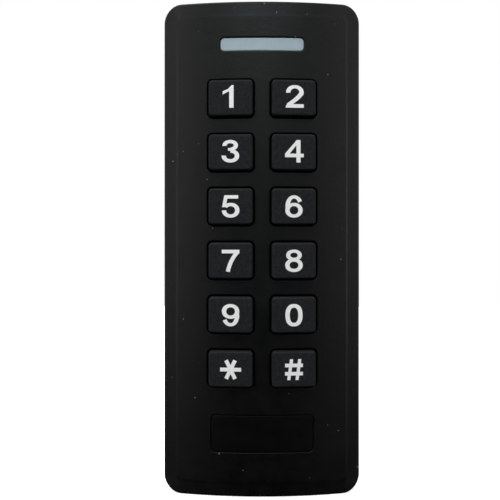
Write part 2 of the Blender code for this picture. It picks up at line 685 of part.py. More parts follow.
def build_screws(material):
    facing_wall = (math.pi, 0.0, 0.0)
    facing_down = (math.pi / 2, 0.0, 0.0)
    seat_gap = 0.2 * MM
    for corner, at in CASE_SCREWS.items():
        name, place = f"case_screw_{corner}", (*at, SCREW_SEAT - seat_gap)
        build_screw(name, place, facing_wall, CASE_SCREW_HEAD, CASE_SCREW_SHANK, material)
    for corner, at in BOARD_SCREWS.items():
        name, place = f"board_screw_{corner}", (*at, BOARD_BACK - seat_gap)
        build_screw(name, place, facing_wall, BOARD_SCREW_HEAD, BOARD_SCREW_SHANK, material)
    place = (0.0, LOCK_HEAD_WELL[1] - seat_gap - CASE[1] / 2, LOCK_HEIGHT)
    build_screw("security_screw", place, facing_down, LOCK_SCREW_HEAD, LOCK_SCREW_SHANK, material)


def build_wall_plate(material):
    """Steel plate with wall-screw slots, a cable opening, two hooks and, at the bottom, a threaded tongue."""
    plate = piece("wall_plate", slab(PLATE, 2.0 * MM, 0.0, SHEET), material)
    top = PLATE[1] / 2
    risers = [
        box(about(sx * HOOK_X, HOOK_WIDTH), (top - 3.5 * MM, top - 2.0 * MM), (0.5 * MM, HOOK_BACK + SHEET))
        for sx in (-1, 1)
    ]
    tongue_front = LOCK_TONGUE_Y + SHEET
    tongue = box(about(0.0, LOCK_TONGUE[0]), (LOCK_TONGUE_Y, tongue_front), (0.5 * MM, LOCK_TONGUE[1]))
    add(plate, "bends", [*risers, tongue])
    hooks = [
        box(about(sx * HOOK_X, HOOK_WIDTH), (top - 3.5 * MM, HOOK_END), (HOOK_BACK, HOOK_BACK + SHEET))
        for sx in (-1, 1)
    ]
    add(plate, "hooks", hooks)
    slots = [
        slab(SLOT, 0.49 * SLOT[0], BEHIND, OUTSIDE, (0.0, sy * spacing / 2))
        for spacing in SLOT_SPACINGS
        for sy in (-1, 1)
    ]
    cable_opening = slab(CABLE_OPENING, 2.0 * MM, BEHIND, OUTSIDE, (0.0, CABLE_Y))
    cut(plate, "slots_and_opening", [*slots, cable_opening])
    thread = rod_along_y(0.0, LOCK_HEIGHT, LOCK_THREAD, -CASE[1] / 2, LOCK_TONGUE_Y + 2 * SHEET)
    cut(plate, "thread", [thread])


def main():
    for old in list(bpy.data.objects):
        bpy.data.objects.remove(old)
    for name in ("rfid_card_reader", "cutters"):
        bpy.context.scene.collection.children.link(bpy.data.collections.new(name))
    frame = bpy.data.objects.new("reader_frame", None)
    frame.rotation_euler = (math.pi / 2, 0.0, 0.0)
    bpy.data.collections["rfid_card_reader"].objects.link(frame)

    black = finish("textured_black_abs", (0.012, 0.013, 0.013), 0.55)
    key_black = finish("key_black", (0.014, 0.014, 0.016), 0.5)
    frosted = finish("frosted_lens", (0.35, 0.44, 0.48), 0.35)
    gloss_black = finish("badge_gloss_black", (0.004, 0.004, 0.004), 0.2)
    silicone = finish("grey_silicone", (0.2, 0.21, 0.22), 0.7)
    seal = finish("black_silicone", (0.02, 0.02, 0.02), 0.7)
    carbon = finish("carbon", (0.01, 0.01, 0.01), 0.8)
    white = finish("white_plastic", (0.8, 0.8, 0.78), 0.5)
    laminate = finish("green_laminate", (0.01, 0.12, 0.05), 0.4)
    chip_black = finish("chip_black", (0.01, 0.01, 0.01), 0.45)
    copper = finish("enamelled_copper", (0.6, 0.24, 0.1), 0.35, 1.0)
    steel = finish("zinc_steel", (0.55, 0.56, 0.57), 0.35, 1.0)

    build_front_cover(black)
    build_rear_cover(black)
    build_gasket(seal)
    build_light_bar(frosted, white, white)
    build_badge(gloss_black)
    for name, x, y in key_places():
        build_key(name, x, y, key_black, carbon)
    build_keypad_mat(silicone)
    build_board(laminate, white)
    build_antenna(copper)
    build_chip("microcontroller", CONTROLLER_AT, CONTROLLER, 1.4 * MM, (6, 6), chip_black)
    build_chip("rfid_chip", RFID_CHIP_AT, RFID_CHIP, 1.6 * MM, (8, 0), chip_black)
    build_regulator(chip_black)
    build_capacitor(steel)
    build_crystal(steel)
    build_buzzer(chip_black)
    build_wire_header(white)
    build_photocell(white)
    build_grommet(seal)
    build_screws(steel)
    build_wall_plate(steel)


main()
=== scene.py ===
import json
import math

import bmesh
import bpy
from mathutils import Matrix, Vector
from mathutils.geometry import delaunay_2d_cdt

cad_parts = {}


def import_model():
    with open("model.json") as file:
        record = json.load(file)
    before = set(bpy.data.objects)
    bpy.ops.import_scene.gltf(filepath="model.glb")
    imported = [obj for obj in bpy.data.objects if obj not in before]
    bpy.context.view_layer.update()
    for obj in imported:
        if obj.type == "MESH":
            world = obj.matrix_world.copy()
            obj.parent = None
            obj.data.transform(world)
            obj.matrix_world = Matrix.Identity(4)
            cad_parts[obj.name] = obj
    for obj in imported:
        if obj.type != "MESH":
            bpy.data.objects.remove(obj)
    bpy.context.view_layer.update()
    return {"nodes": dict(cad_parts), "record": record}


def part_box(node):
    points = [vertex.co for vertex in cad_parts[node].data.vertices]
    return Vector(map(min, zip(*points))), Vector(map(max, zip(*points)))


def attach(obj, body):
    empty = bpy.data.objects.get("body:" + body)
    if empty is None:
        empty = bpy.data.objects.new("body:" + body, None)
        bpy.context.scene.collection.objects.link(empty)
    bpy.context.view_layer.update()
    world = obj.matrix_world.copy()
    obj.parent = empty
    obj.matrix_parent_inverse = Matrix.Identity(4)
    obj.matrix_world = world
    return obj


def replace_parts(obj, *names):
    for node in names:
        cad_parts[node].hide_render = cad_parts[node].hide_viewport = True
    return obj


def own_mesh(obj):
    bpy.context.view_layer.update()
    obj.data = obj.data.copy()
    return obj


# The reader's visible pieces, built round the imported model.
#
# Pieces are drawn lying on the reader's back, in millimetres: x to the right, y towards its top, z out of the
# wall. stand() puts such a point in the row frame, where the front faces -Y and +Z is up.

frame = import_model()

MM = 0.001


def span(node):
    """A node's ranges across, up and out of the wall."""
    low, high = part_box(node)
    return (low.x / MM, high.x / MM), (low.z / MM, high.z / MM), (-high.y / MM, -low.y / MM)


def middle(node):
    """Where a node's middle is, across and up."""
    across, up, _ = span(node)
    return (sum(across) / 2, sum(up) / 2)


def grown(sides, by):
    """Width and height with this much more on every side."""
    return (sides[0] + 2 * by, sides[1] + 2 * by)


def size(node, by=0.0):
    """Width and height of a node, grown on every side."""
    across, up, _ = span(node)
    return grown((across[1] - across[0], up[1] - up[0]), by)


def over(node, height=0.0):
    """A placement over a node's middle."""
    return Matrix.Translation((*middle(node), height))


# Case
CASE = size("front_cover")
CASE_CORNER = 4.5
PARTING, FACE_HEIGHT = span("front_cover")[2]
RIM_BACK, RIM_FRONT = span("rear_cover")[2]
CROWN_RADIUS = 82.0
BORDER_WIDTH = 3.75
SIDE_DROP = 0.9
END_DROP = 0.12  # at the top and the bottom
CREASE_SOFTNESS = 0.22
CREASE_STEP = 0.11  # the border falls this much faster beside the crease
CREASE_REACH = 0.4  # width of that fall
EDGE_ROUND = 0.5
SUPPORT = 0.15  # between a rounded edge and the flat beside it
FACE_INSET = BORDER_WIDTH + CREASE_SOFTNESS + SUPPORT
SEAM_ROUND = 0.15
FRONT_WALL = 2.0
LIP_ROUND = 0.25
WINDOW_ROUND = 0.15
RECESS_ROUND = 0.08
CASE_BOSS = (3.0, 1.5, 16.0)  # radius, bore's radius, and height of the bore's end
BOARD_BOSS = (2.2, 1.15, 16.5)
FIT = 0.3
SHARP_ANGLE = math.radians(32.0)  # edges with a sharper turn stay sharp in the shading

# Keys
KEYS = ["1", "2", "3", "4", "5", "6", "7", "8", "9", "0", "star", "hash"]
FLANGE_OVERHANG = 0.9
FLANGE_THICKNESS = 0.8
KEY = size("keycap_1", -FLANGE_OVERHANG)
KEY_CORNER = 1.0
KEY_ROUND = 0.5
KEY_PROUD = 1.6
KEY_DRAFT = math.tan(math.radians(1.2))
KEY_PILLOW = 0.05
KEY_FOOT = span("keycap_1")[2][0]
KEY_STOP = KEY_FOOT + FLANGE_THICKNESS + FIT

# Silicone keypad mat
MAT_BACK, DOME_TOP = span("keypad_membrane")[2]
MAT_FRONT = MAT_BACK + 1.0
DOME_FOOT = MAT_FRONT - 0.05
DOME_ROOF = 16.0
DOME_RADII = (4.6, 3.1)  # at the foot and at the top
HOLLOW_RADII = (3.2, 2.5)
STEM = (1.6, 15.3, 16.6)  # radius, and heights of its ends
LIGHT_HOLE = (4.0, 3.2)

# Light bar and badge
LENS_FLANGE = 1.2
LENS = size("light_bar_lens", -LENS_FLANGE)
LENS_CORNER = 1.0
LENS_GAP = 0.12
LENS_RECESS = 0.3
LENS_EDGE = 0.25
LENS_FOOT = span("light_bar_lens")[2][0]
BADGE = size("badge_insert")
BADGE_CORNER = 1.05
BADGE_GAP = 0.25
BADGE_RECESS = 0.7

# Rear cover
REAR_WALL = 2.6
PANEL_BACK = 3.4
PANEL_FRONT = 5.4
LEDGE_INSET = 1.4
LEDGE_HEIGHT = 7.1
SCREW_SEAT = 5.6
HEAD_POCKET = 3.0
PANEL_HOLES = {"cable_grommet": 4.6, "tamper_photocell": 2.8}
POST = (3.3, 1.6)  # radius, and its bore's radius
HOUSING = (14.0, -54.0, 7.0)  # width, place of its inner end, and height
HOUSING_POCKET = (12.0, -55.4, 6.3)
CORNERS = ("top_left", "top_right", "bottom_left", "bottom_right")

# Wall plate
PLATE = (44.0, 118.0)
PLATE_CORNER = 2.0
SHEET = 1.5
SLOT = (4.0, 9.0)
SLOT_SPACINGS = (60.0, 83.3)
CABLE_OPENING = (26.0, 16.0)
HOOK_X = 12.0
HOOK_WIDTH = 8.0
LOCK_TONGUE = 10.0
TONGUE_GAP = 0.7
THREAD_RADIUS = 1.6

# Screws: (radius, length) of the head and of the shank
SCREWS = {"case": ((2.6, 1.5), (1.3, 9.4)), "board": ((2.0, 1.2), (1.0, 5.0))}
SECURITY_SCREW = ((2.6, 1.0), (1.4, 5.0))


# ---- shapes


def crown(x):
    """Height of the crowned face inside its border."""
    return FACE_HEIGHT - (CROWN_RADIUS - math.sqrt(CROWN_RADIUS**2 - x**2))


def crown_slope(x):
    return -x / math.sqrt(CROWN_RADIUS**2 - x**2)


def stand(point):
    return Vector((point[0] * MM, -point[2] * MM, point[1] * MM))


class Outline:
    """A rounded rectangle. Its loops have the same number of points at every inset."""

    def __init__(self, centre, sides, radius, corner_steps=8, side_steps=(4, 4)):
        self.centre = centre
        self.half = (sides[0] / 2, sides[1] / 2)
        self.radius = radius
        self.corner_steps = corner_steps
        self.side_steps = side_steps

    def loop(self, inset=0.0):
        radius = max(self.radius - inset, 0.02)
        reach = [half - inset - radius for half in self.half]
        corners = [
            (self.centre[0] + sx * reach[0], self.centre[1] + sy * reach[1])
            for sx, sy in ((1, 1), (-1, 1), (-1, -1), (1, -1))
        ]
        points = []
        for quarter, (x, y) in enumerate(corners):
            for step in range(self.corner_steps + 1):
                angle = math.pi / 2 * (quarter + step / self.corner_steps)
                points.append((x + radius * math.cos(angle), y + radius * math.sin(angle)))
            start = Vector(points[-1])
            ahead = math.pi / 2 * (quarter + 1)
            after = Vector(corners[(quarter + 1) % 4]) + radius * Vector((math.cos(ahead), math.sin(ahead)))
            steps = self.side_steps[quarter % 2]
            points += [tuple(start.lerp(after, step / steps)) for step in range(1, steps)]
        return points

    def distance(self, x, y, inset=0.0):
        """How far outside the loop a point is; less than zero inside it."""
        radius = max(self.radius - inset, 0.02)
        beyond = [
            abs(value - centre) - (half - inset - radius)
            for value, centre, half in zip((x, y), self.centre, self.half)
        ]
        return math.hypot(max(beyond[0], 0), max(beyond[1], 0)) + min(max(beyond), 0) - radius


CASE_OUTLINE = Outline((0.0, 0.0), CASE, CASE_CORNER, corner_steps=14, side_steps=(28, 48))


class Circle:
    """The same for a circle."""

    def __init__(self, centre, radius, steps=24):
        self.centre = centre
        self.radius = radius
        self.steps = steps

    def loop(self, inset=0.0):
        angles = [2 * math.pi * step / self.steps for step in range(self.steps)]
        reach = self.radius - inset
        return [(self.centre[0] + reach * math.cos(a), self.centre[1] + reach * math.sin(a)) for a in angles]

    def distance(self, x, y, inset=0.0):
        return math.hypot(x - self.centre[0], y - self.centre[1]) - (self.radius - inset)


def level_of(height):
    """A height that is a number or a function of x and y, as a function."""
    return height if callable(height) else lambda x, y: height


def ring(shape, outline, inset, height):
    """Vertices along an outline."""
    level = level_of(height)
    return [shape.verts.new((x, y, level(x, y))) for x, y in outline.loop(inset)]


def bridge(shape, lower, upper):
    count = len(lower)
    for i in range(count):
        j = (i + 1) % count
        shape.faces.new((lower[i], lower[j], upper[j], upper[i]))


def loft(shape, outline, profile):
    """Walls through rings at (inset, height) pairs. Returns the first and the last ring."""
    rings = [ring(shape, outline, inset, height) for inset, height in profile]
    for lower, upper in zip(rings, rings[1:]):
        bridge(shape, lower, upper)
    return rings[0], rings[-1]


def fill(shape, outer, holes=(), height=0.0, spacing=1.5):
    """Faces inside one ring and outside the others, over a grid of points at this height.

    outer and each of holes are (vertices, outline, inset)."""
    level = level_of(height)
    vertices = []
    edges = []
    for loop, _, _ in (outer, *holes):
        first = len(vertices)
        vertices += loop
        edges += [(first + i, first + (i + 1) % len(loop)) for i in range(len(loop))]

    def inside(x, y, margin):
        if outer[1].distance(x, y, outer[2]) > -margin:
            return False
        return all(outline.distance(x, y, inset) > margin for _, outline, inset in holes)

    xs = [v.co.x for v in outer[0]]
    ys = [v.co.y for v in outer[0]]
    columns = max(1, round((max(xs) - min(xs)) / spacing))
    rows = max(1, round((max(ys) - min(ys)) / spacing))
    for column in range(1, columns):
        for row in range(1, rows):
            x = min(xs) + (max(xs) - min(xs)) * column / columns
            y = min(ys) + (max(ys) - min(ys)) * row / rows
            if inside(x, y, 0.35 * spacing):
                vertices.append(shape.verts.new((x, y, level(x, y))))
    flat = [Vector((v.co.x, v.co.y)) for v in vertices]
    _, _, triangles, origins, _, _ = delaunay_2d_cdt(flat, edges, [], 0, 1e-6)
    for triangle in triangles:
        corners = [vertices[origins[i][0]] for i in triangle]
        centre = sum((v.co for v in corners), Vector()) / 3
        if thickness([flat[origins[i][0]] for i in triangle]) > 1e-4 and inside(centre.x, centre.y, 0.0):
            shape.faces.new(corners)


def sheet(shape, outline, holes, around, edge, spacing):
    """A sheet with holes. around and edge are its rim's and its holes' profiles, from front to back."""
    faces = loft(shape, outline, around)
    rims = [(loft(shape, hole, edge), hole) for hole in holes]
    for side in (0, -1):
        inset, height = around[side]
        mouths = [(rings[side], hole, edge[side][0]) for rings, hole in rims]
        fill(shape, (faces[side], outline, inset), mouths, height, spacing)


def thickness(triangle):
    """Smallest height of a flat triangle."""
    a, b, c = triangle
    longest = max((b - a).length, (c - b).length, (a - c).length)
    return abs((b - a).cross(c - a)) / longest


def lathe(shape, profile, place, steps=48):
    """Turns (radius, height) pairs round the Z axis of a 4 x 4 placement.

    A third item, True, makes a ring hexagonal."""
    rings = []
    for radius, height, *hexagonal in profile:
        if radius == 0.0:
            rings.append([shape.verts.new(place @ Vector((0.0, 0.0, height)))])
            continue
        loop = []
        for step in range(steps):
            angle = 2 * math.pi * step / steps
            reach = radius / math.cos(angle % (math.pi / 3) - math.pi / 6) if hexagonal else radius
            point = Vector((reach * math.cos(angle), reach * math.sin(angle), height))
            loop.append(shape.verts.new(place @ point))
        rings.append(loop)
    for lower, upper in zip(rings, rings[1:]):
        if len(lower) == len(upper):
            bridge(shape, lower, upper)
            continue
        point, loop = (lower, upper) if len(lower) == 1 else (upper, lower)
        for i in range(steps):
            shape.faces.new((point[0], loop[i], loop[(i + 1) % steps]))


def turned(profile, place, steps=48):
    """A shape that is turned from one profile."""
    shape = bmesh.new()
    lathe(shape, profile, place, steps)
    return shape


def prism(shape, points, low, high, place, soft=0.12):
    """Extrudes an outline of points between two heights and softens its edges, in a 4 x 4 placement."""
    block = bmesh.new()
    ends = [[block.verts.new((x, y, z)) for x, y in points] for z in (low, high)]
    block.faces.new(ends[0][::-1])
    block.faces.new(ends[1])
    bridge(block, *ends)
    rims = [edge for edge in block.edges if edge.verts[0].co.z == edge.verts[1].co.z]
    bmesh.ops.bevel(block, geom=rims, offset=soft, segments=3, profile=0.5, affect="EDGES")
    bmesh.ops.transform(block, matrix=place, verts=block.verts)
    mesh = bpy.data.meshes.new("block")
    block.to_mesh(mesh)
    block.free()
    shape.from_mesh(mesh)
    bpy.data.meshes.remove(mesh)


def arc(centre, radius, start, end, steps=6):
    angles = [math.radians(start + (end - start) * step / steps) for step in range(steps + 1)]
    return [(centre[0] + radius * math.cos(a), centre[1] + radius * math.sin(a)) for a in angles]


def placed(name, data):
    """A new object in the scene."""
    thing = bpy.data.objects.new(name, data)
    bpy.context.scene.collection.objects.link(thing)
    return thing


def standing(name, shape):
    """An object of a closed shape, smoothly shaded and standing up."""
    bmesh.ops.recalc_face_normals(shape, faces=shape.faces)
    for vertex in shape.verts:
        vertex.co = stand(vertex.co)
    mesh = bpy.data.meshes.new(name)
    shape.to_mesh(mesh)
    shape.free()
    mesh.shade_smooth()
    return placed(name, mesh)


def made(name, shape, slot, body="case", material=None):
    """The finished piece: it stands up, rides on its body and has its slot's material, or another."""
    piece = standing(name, shape)
    piece.data.set_sharp_from_angle(angle=SHARP_ANGLE)
    piece.data.materials.append(material or MATERIALS[slot])
    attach(piece, body)
    return piece


def carve(piece, shapes):
    """Cuts closed shapes out of a piece's mesh for good."""
    tools = [standing("tool", shape) for shape in shapes]
    for number, tool in enumerate(tools):
        modifier = piece.modifiers.new(f"cut_{number}", "BOOLEAN")
        modifier.operation = "DIFFERENCE"
        modifier.solver = "EXACT"
        modifier.object = tool
    cut = bpy.data.meshes.new_from_object(piece.evaluated_get(bpy.context.evaluated_depsgraph_get()))
    piece.modifiers.clear()
    piece.data = cut
    cut.set_sharp_from_angle(angle=SHARP_ANGLE)
    for tool in tools:
        bpy.data.objects.remove(tool)


def box(across, up, out):
    shape = bmesh.new()
    ranges = (across, up, out)
    centre = Matrix.Translation([(low + high) / 2 for low, high in ranges])
    sides = Matrix.Diagonal([high - low for low, high in ranges] + [1.0])
    bmesh.ops.create_cube(shape, size=1.0, matrix=centre @ sides)
    return shape


def rounding(radius, steps=4):
    """(inset, drop) pairs of a quarter round, from the wall to the top."""
    angles = [math.pi / 2 * step / steps for step in range(steps + 1)]
    return [(radius * (1 - math.cos(a)), radius * (1 - math.sin(a))) for a in angles]


def lip(radius, steps=4):
    """(inset, drop) pairs of the rounded edge of an opening, from the face to the wall."""
    angles = [math.pi / 2 * step / steps for step in range(steps + 1)]
    return [(-radius * (1 - math.sin(a)), radius * (1 - math.cos(a))) for a in angles]


# ---- materials


class Paint:
    """A material's node tree, with short calls for its nodes."""

    def __init__(self, name, roughness, metallic=0.0, specular=0.5):
        self.material = bpy.data.materials.new(name)
        self.material.use_nodes = True
        self.nodes = self.material.node_tree.nodes
        self.links = self.material.node_tree.links
        self.shader = self.nodes["Principled BSDF"]
        finish = {"Roughness": roughness, "Metallic": metallic, "Specular IOR Level": specular}
        for socket, value in finish.items():
            self.shader.inputs[socket].default_value = value
        self.place = self.nodes.new("ShaderNodeTexCoord").outputs["Object"]

    def add(self, kind, output, inputs, **settings):
        """Adds a node whose inputs are values or sockets, and returns one of its outputs."""
        node = self.nodes.new(f"ShaderNode{kind}")
        for name, value in settings.items():
            setattr(node, name, value)
        for socket, value in inputs.items():
            if isinstance(value, bpy.types.NodeSocket):
                self.links.new(value, node.inputs[socket])
            else:
                node.inputs[socket].default_value = value
        return node.outputs[output]

    def noise(self, feature, detail=2.0, roughness=0.5):
        """Noise whose patches are about this many millimetres wide, from 0 to 1."""
        inputs = {"Vector": self.place, "Scale": 1.0 / (feature * MM), "Detail": detail}
        return self.add("TexNoise", "Fac", {**inputs, "Roughness": roughness})

    def cells(self, feature, randomness=1.0, output="Distance"):
        inputs = {"Vector": self.place, "Scale": 1.0 / (feature * MM), "Randomness": randomness}
        return self.add("TexVoronoi", output, inputs)

    def between(self, value, low, high, first, last):
        """value from low to high becomes first to last, held at both ends."""
        inputs = {"Value": value, "From Min": low, "From Max": high, "To Min": first, "To Max": last}
        return self.add("MapRange", "Result", inputs)

    def product(self, first, second):
        return self.add("Math", "Value", {0: first, 1: second}, operation="MULTIPLY")

    def mixed(self, share, first, second):
        """A colour between two, which are colours or sockets."""
        ends = [end if isinstance(end, bpy.types.NodeSocket) else (*end, 1.0) for end in (first, second)]
        return self.add("Mix", 2, {"Factor": share, 6: ends[0], 7: ends[1]}, data_type="RGBA")

    def colour(self, value):
        self.links.new(value, self.shader.inputs["Base Color"])

    def rough(self, value):
        self.links.new(value, self.shader.inputs["Roughness"])

    def bump(self, height, depth):
        """Relief of this many millimetres. Each call goes on top of the ones before it."""
        normal = self.shader.inputs["Normal"]
        inputs = {"Distance": depth * MM, "Height": height}
        if normal.links:
            inputs["Normal"] = normal.links[0].from_socket
        self.links.new(self.add("Bump", "Normal", inputs), normal)


def moulded(name, colour, roughness, grain=0.004, speck=0.0, specular=0.5, variation=0.25, patch=9.0):
    """Moulded plastic or rubber: fine grain, faint mottling, rubbed patches and perhaps specks of dust."""
    paint = Paint(name, roughness, specular=specular)
    mottling = paint.between(paint.noise(patch, 4.0), 0.3, 0.7, 0.0, 1.0)
    darker = [c * (1 - variation) for c in colour]
    lighter = [c * (1 + variation) for c in colour]
    tone = paint.mixed(mottling, darker, lighter)
    if speck:
        dust = paint.between(paint.cells(2.6), 0.035, 0.055, 1.0, 0.0)
        sparse = paint.between(paint.noise(6.0), 0.52, 0.6, 0.0, speck)
        tone = paint.mixed(paint.product(dust, sparse), tone, (0.35, 0.36, 0.36))
    paint.colour(tone)
    paint.rough(paint.between(paint.noise(3.0, 5.0, 0.6), 0.25, 0.75, roughness - 0.06, roughness + 0.06))
    paint.bump(paint.noise(0.9, 2.0), 1.5 * grain)
    paint.bump(paint.noise(0.4, 2.0), grain)
    return paint.material


def printed(name):
    """Screen-printed white: slightly uneven in density, with a soft satin surface."""
    paint = Paint(name, 0.5)
    density = paint.between(paint.noise(0.6, 4.0), 0.3, 0.7, 0.0, 1.0)
    paint.colour(paint.mixed(density, (0.88, 0.865, 0.855), (0.95, 0.935, 0.925)))
    paint.rough(paint.between(paint.noise(1.2, 3.0), 0.3, 0.7, 0.42, 0.58))
    paint.bump(paint.noise(0.15, 2.0), 0.003)
    return paint.material


def frosted(name, thin, thick):
    """Frosted acrylic, cloudy at a fine scale between two colours."""
    paint = Paint(name, 0.38)
    clouds = paint.between(paint.noise(2.4, 5.0, 0.6), 0.25, 0.75, 0.0, 1.0)
    paint.colour(paint.mixed(clouds, thin, thick))
    paint.rough(paint.between(paint.noise(0.8, 4.0), 0.3, 0.7, 0.32, 0.46))
    paint.bump(paint.noise(0.12, 2.0), 0.004)
    paint.shader.inputs["Subsurface Weight"].default_value = 0.15
    paint.shader.inputs["Subsurface Radius"].default_value = (0.5 * MM, 0.6 * MM, 0.6 * MM)
    return paint.material


def plated(name, colour, roughness):
    """Zinc-plated steel: brushed, cloudy, with tiny pits."""
    paint = Paint(name, roughness, metallic=1.0)
    clouds = paint.between(paint.noise(4.0, 6.0, 0.65), 0.3, 0.7, 0.0, 1.0)
    paint.colour(paint.mixed(clouds, [0.8 * c for c in colour], colour))
    paint.rough(paint.between(paint.noise(1.1, 5.0, 0.7), 0.25, 0.75, roughness - 0.09, roughness + 0.12))
    paint.bump(paint.noise(0.35, 4.0), 0.004)
    paint.bump(paint.between(paint.cells(0.9), 0.0, 0.12, 0.0, 1.0), 0.003)
    return paint.material


def laminate(name):
    """Circuit board under solder mask, with the weave of the glass and faint copper areas showing through."""
    paint = Paint(name, 0.35)
    weave = paint.cells(0.5, 0.1)
    copper = paint.between(paint.cells(5.0, 0.7, "Color"), 0.35, 0.65, 0.0, 1.0)
    paint.colour(paint.mixed(copper, (0.008, 0.09, 0.035), (0.014, 0.15, 0.055)))
    paint.rough(paint.between(paint.noise(2.0, 3.0), 0.3, 0.7, 0.28, 0.42))
    paint.bump(weave, 0.006)
    return paint.material


def wound(name):
    """Enamelled wire: fine ridges all over and a copper colour that changes from turn to turn."""
    paint = Paint(name, 0.32, metallic=1.0)
    turns = paint.cells(0.25, 0.25)
    paint.colour(paint.mixed(turns, (0.62, 0.26, 0.1), (0.38, 0.13, 0.05)))
    paint.rough(paint.between(paint.noise(0.7, 3.0), 0.3, 0.7, 0.25, 0.42))
    paint.bump(turns, 0.05)
    return paint.material


MATERIALS = {
    "case_black": moulded("case_black", (0.0008, 0.0009, 0.0008), 0.40, 0.015, speck=1.0, specular=0.25),
    "key_black": moulded(
        "key_black", (0.0162, 0.0168, 0.0187), 0.5, 0.011, specular=0.05, variation=0.3, patch=0.6
    ),
    "frosted_lens": frosted("frosted_lens", (0.335, 0.42, 0.47), (0.37, 0.46, 0.515)),
    "badge_black": moulded("badge_black", (0.0014, 0.0014, 0.0014), 0.4, 0.003, specular=0.16),
    "grey_silicone": moulded("grey_silicone", (0.2, 0.21, 0.22), 0.7, grain=0.01),
    "black_rubber": moulded("black_rubber", (0.014, 0.014, 0.014), 0.72, grain=0.02),
    "carbon": moulded("carbon", (0.006, 0.006, 0.006), 0.8, grain=0.02),
    "white_plastic": moulded("white_plastic", (0.68, 0.68, 0.66), 0.45, grain=0.004, variation=0.04),
    "green_laminate": laminate("green_laminate"),
    "chip_black": moulded("chip_black", (0.009, 0.009, 0.010), 0.5, grain=0.012),
    "copper": wound("copper"),
    "zinc_steel": plated("zinc_steel", (0.58, 0.60, 0.62), 0.34),
}
PRINT = printed("legend_white")
# A lighter copy of the frosted lens for the lens's chamfer: a painted highlight, standing in for the light
# that the edge catches.
LENS_RIM_HIGHLIGHT = frosted("lens_rim_highlight", (0.46, 0.52, 0.55), (0.50, 0.56, 0.59))


# ---- front cover


def border_drop(inset):
    """How far the side border lies below the crown. It is steepest beside the soft crease at the face."""
    slope = (SIDE_DROP - CREASE_STEP) / BORDER_WIDTH
    before = BORDER_WIDTH + CREASE_SOFTNESS - inset
    if before <= 0:
        return 0.0
    outside = max(0.0, BORDER_WIDTH - inset)
    step = CREASE_STEP * (1 - math.exp(-((outside / CREASE_REACH) ** 2)))
    if before >= 2 * CREASE_SOFTNESS:
        return slope * outside + step
    return slope * before**2 / (4 * CREASE_SOFTNESS) + step


def on_border(inset, extra=0.0):
    """Height of the border at an inset. It slopes less at the top and the bottom than at the sides."""
    drop = border_drop(inset)

    def height(x, y):
        beyond = [max(0.0, abs(v) - side / 2 + CASE_CORNER) for v, side in zip((x, y), CASE)]
        side_share = beyond[0] ** 2 / max(beyond[0] ** 2 + beyond[1] ** 2, 1e-9)
        return crown(x) - drop * (END_DROP + (SIDE_DROP - END_DROP) * side_share) / SIDE_DROP - extra

    return height


def on_crown(offset):
    return lambda x, y: crown(x) + offset


def skin(x, y):
    """Height of the front cover's inner side."""
    return min(KEY_STOP, crown(x) - FRONT_WALL)


def case_profile():
    """(inset, height) pairs of the front cover's outside, from the seam to the face."""
    profile = [(inset, PARTING + drop) for inset, drop in reversed(rounding(SEAM_ROUND, 3))]
    border_angle = math.atan(SIDE_DROP / BORDER_WIDTH)
    start = EDGE_ROUND * (1 - math.sin(border_angle))
    profile.append((0.0, PARTING + SEAM_ROUND + SUPPORT))
    wall_top = EDGE_ROUND * math.cos(border_angle)
    profile.append((0.0, on_border(start, wall_top + SUPPORT)))
    steps = 6
    for step in range(steps + 1):
        angle = math.pi / 2 + (border_angle - math.pi / 2) * step / steps
        inset = EDGE_ROUND * (1 - math.sin(angle))
        profile.append((inset, on_border(start, EDGE_ROUND * (math.cos(border_angle) - math.cos(angle)))))
    steep_end = BORDER_WIDTH - 2.5 * CREASE_REACH
    for inset in (start + SUPPORT, (start + steep_end) / 2):
        profile.append((inset, on_border(inset)))
    crease_end = BORDER_WIDTH + CREASE_SOFTNESS
    steps = 16
    for step in range(steps + 1):
        inset = steep_end + (crease_end - steep_end) * step / steps
        profile.append((inset, on_border(inset)))
    profile.append((FACE_INSET, on_crown(0.0)))
    return profile


def opening(shape, outline, radius, floor):
    """A rounded opening from the face down to a floor. Returns its ring in the face and its lowest ring."""
    support = -radius - 0.2
    profile = [(support, on_crown(0.0))]
    profile += [(inset, on_crown(-drop)) for inset, drop in lip(radius)]
    profile.append((0.0, floor))
    first, last = loft(shape, outline, profile)
    return (first, outline, support), (last, outline, 0.0)


def boss(shape, node, foot, radius, bore, bore_top):
    """A hollow post under the inner skin, for a screw. Returns its ring in the skin."""
    outline = Circle(middle(node), radius)
    wall = radius - bore
    soft = 0.2
    profile = [
        (0.0, skin), (0.0, foot + soft), (soft, foot), (wall - soft, foot), (wall, foot + soft),
        (wall, bore_top),
    ]
    first, last = loft(shape, outline, profile)
    fill(shape, (last, outline, wall), (), bore_top, spacing=radius)
    return (first, outline, 0.0)


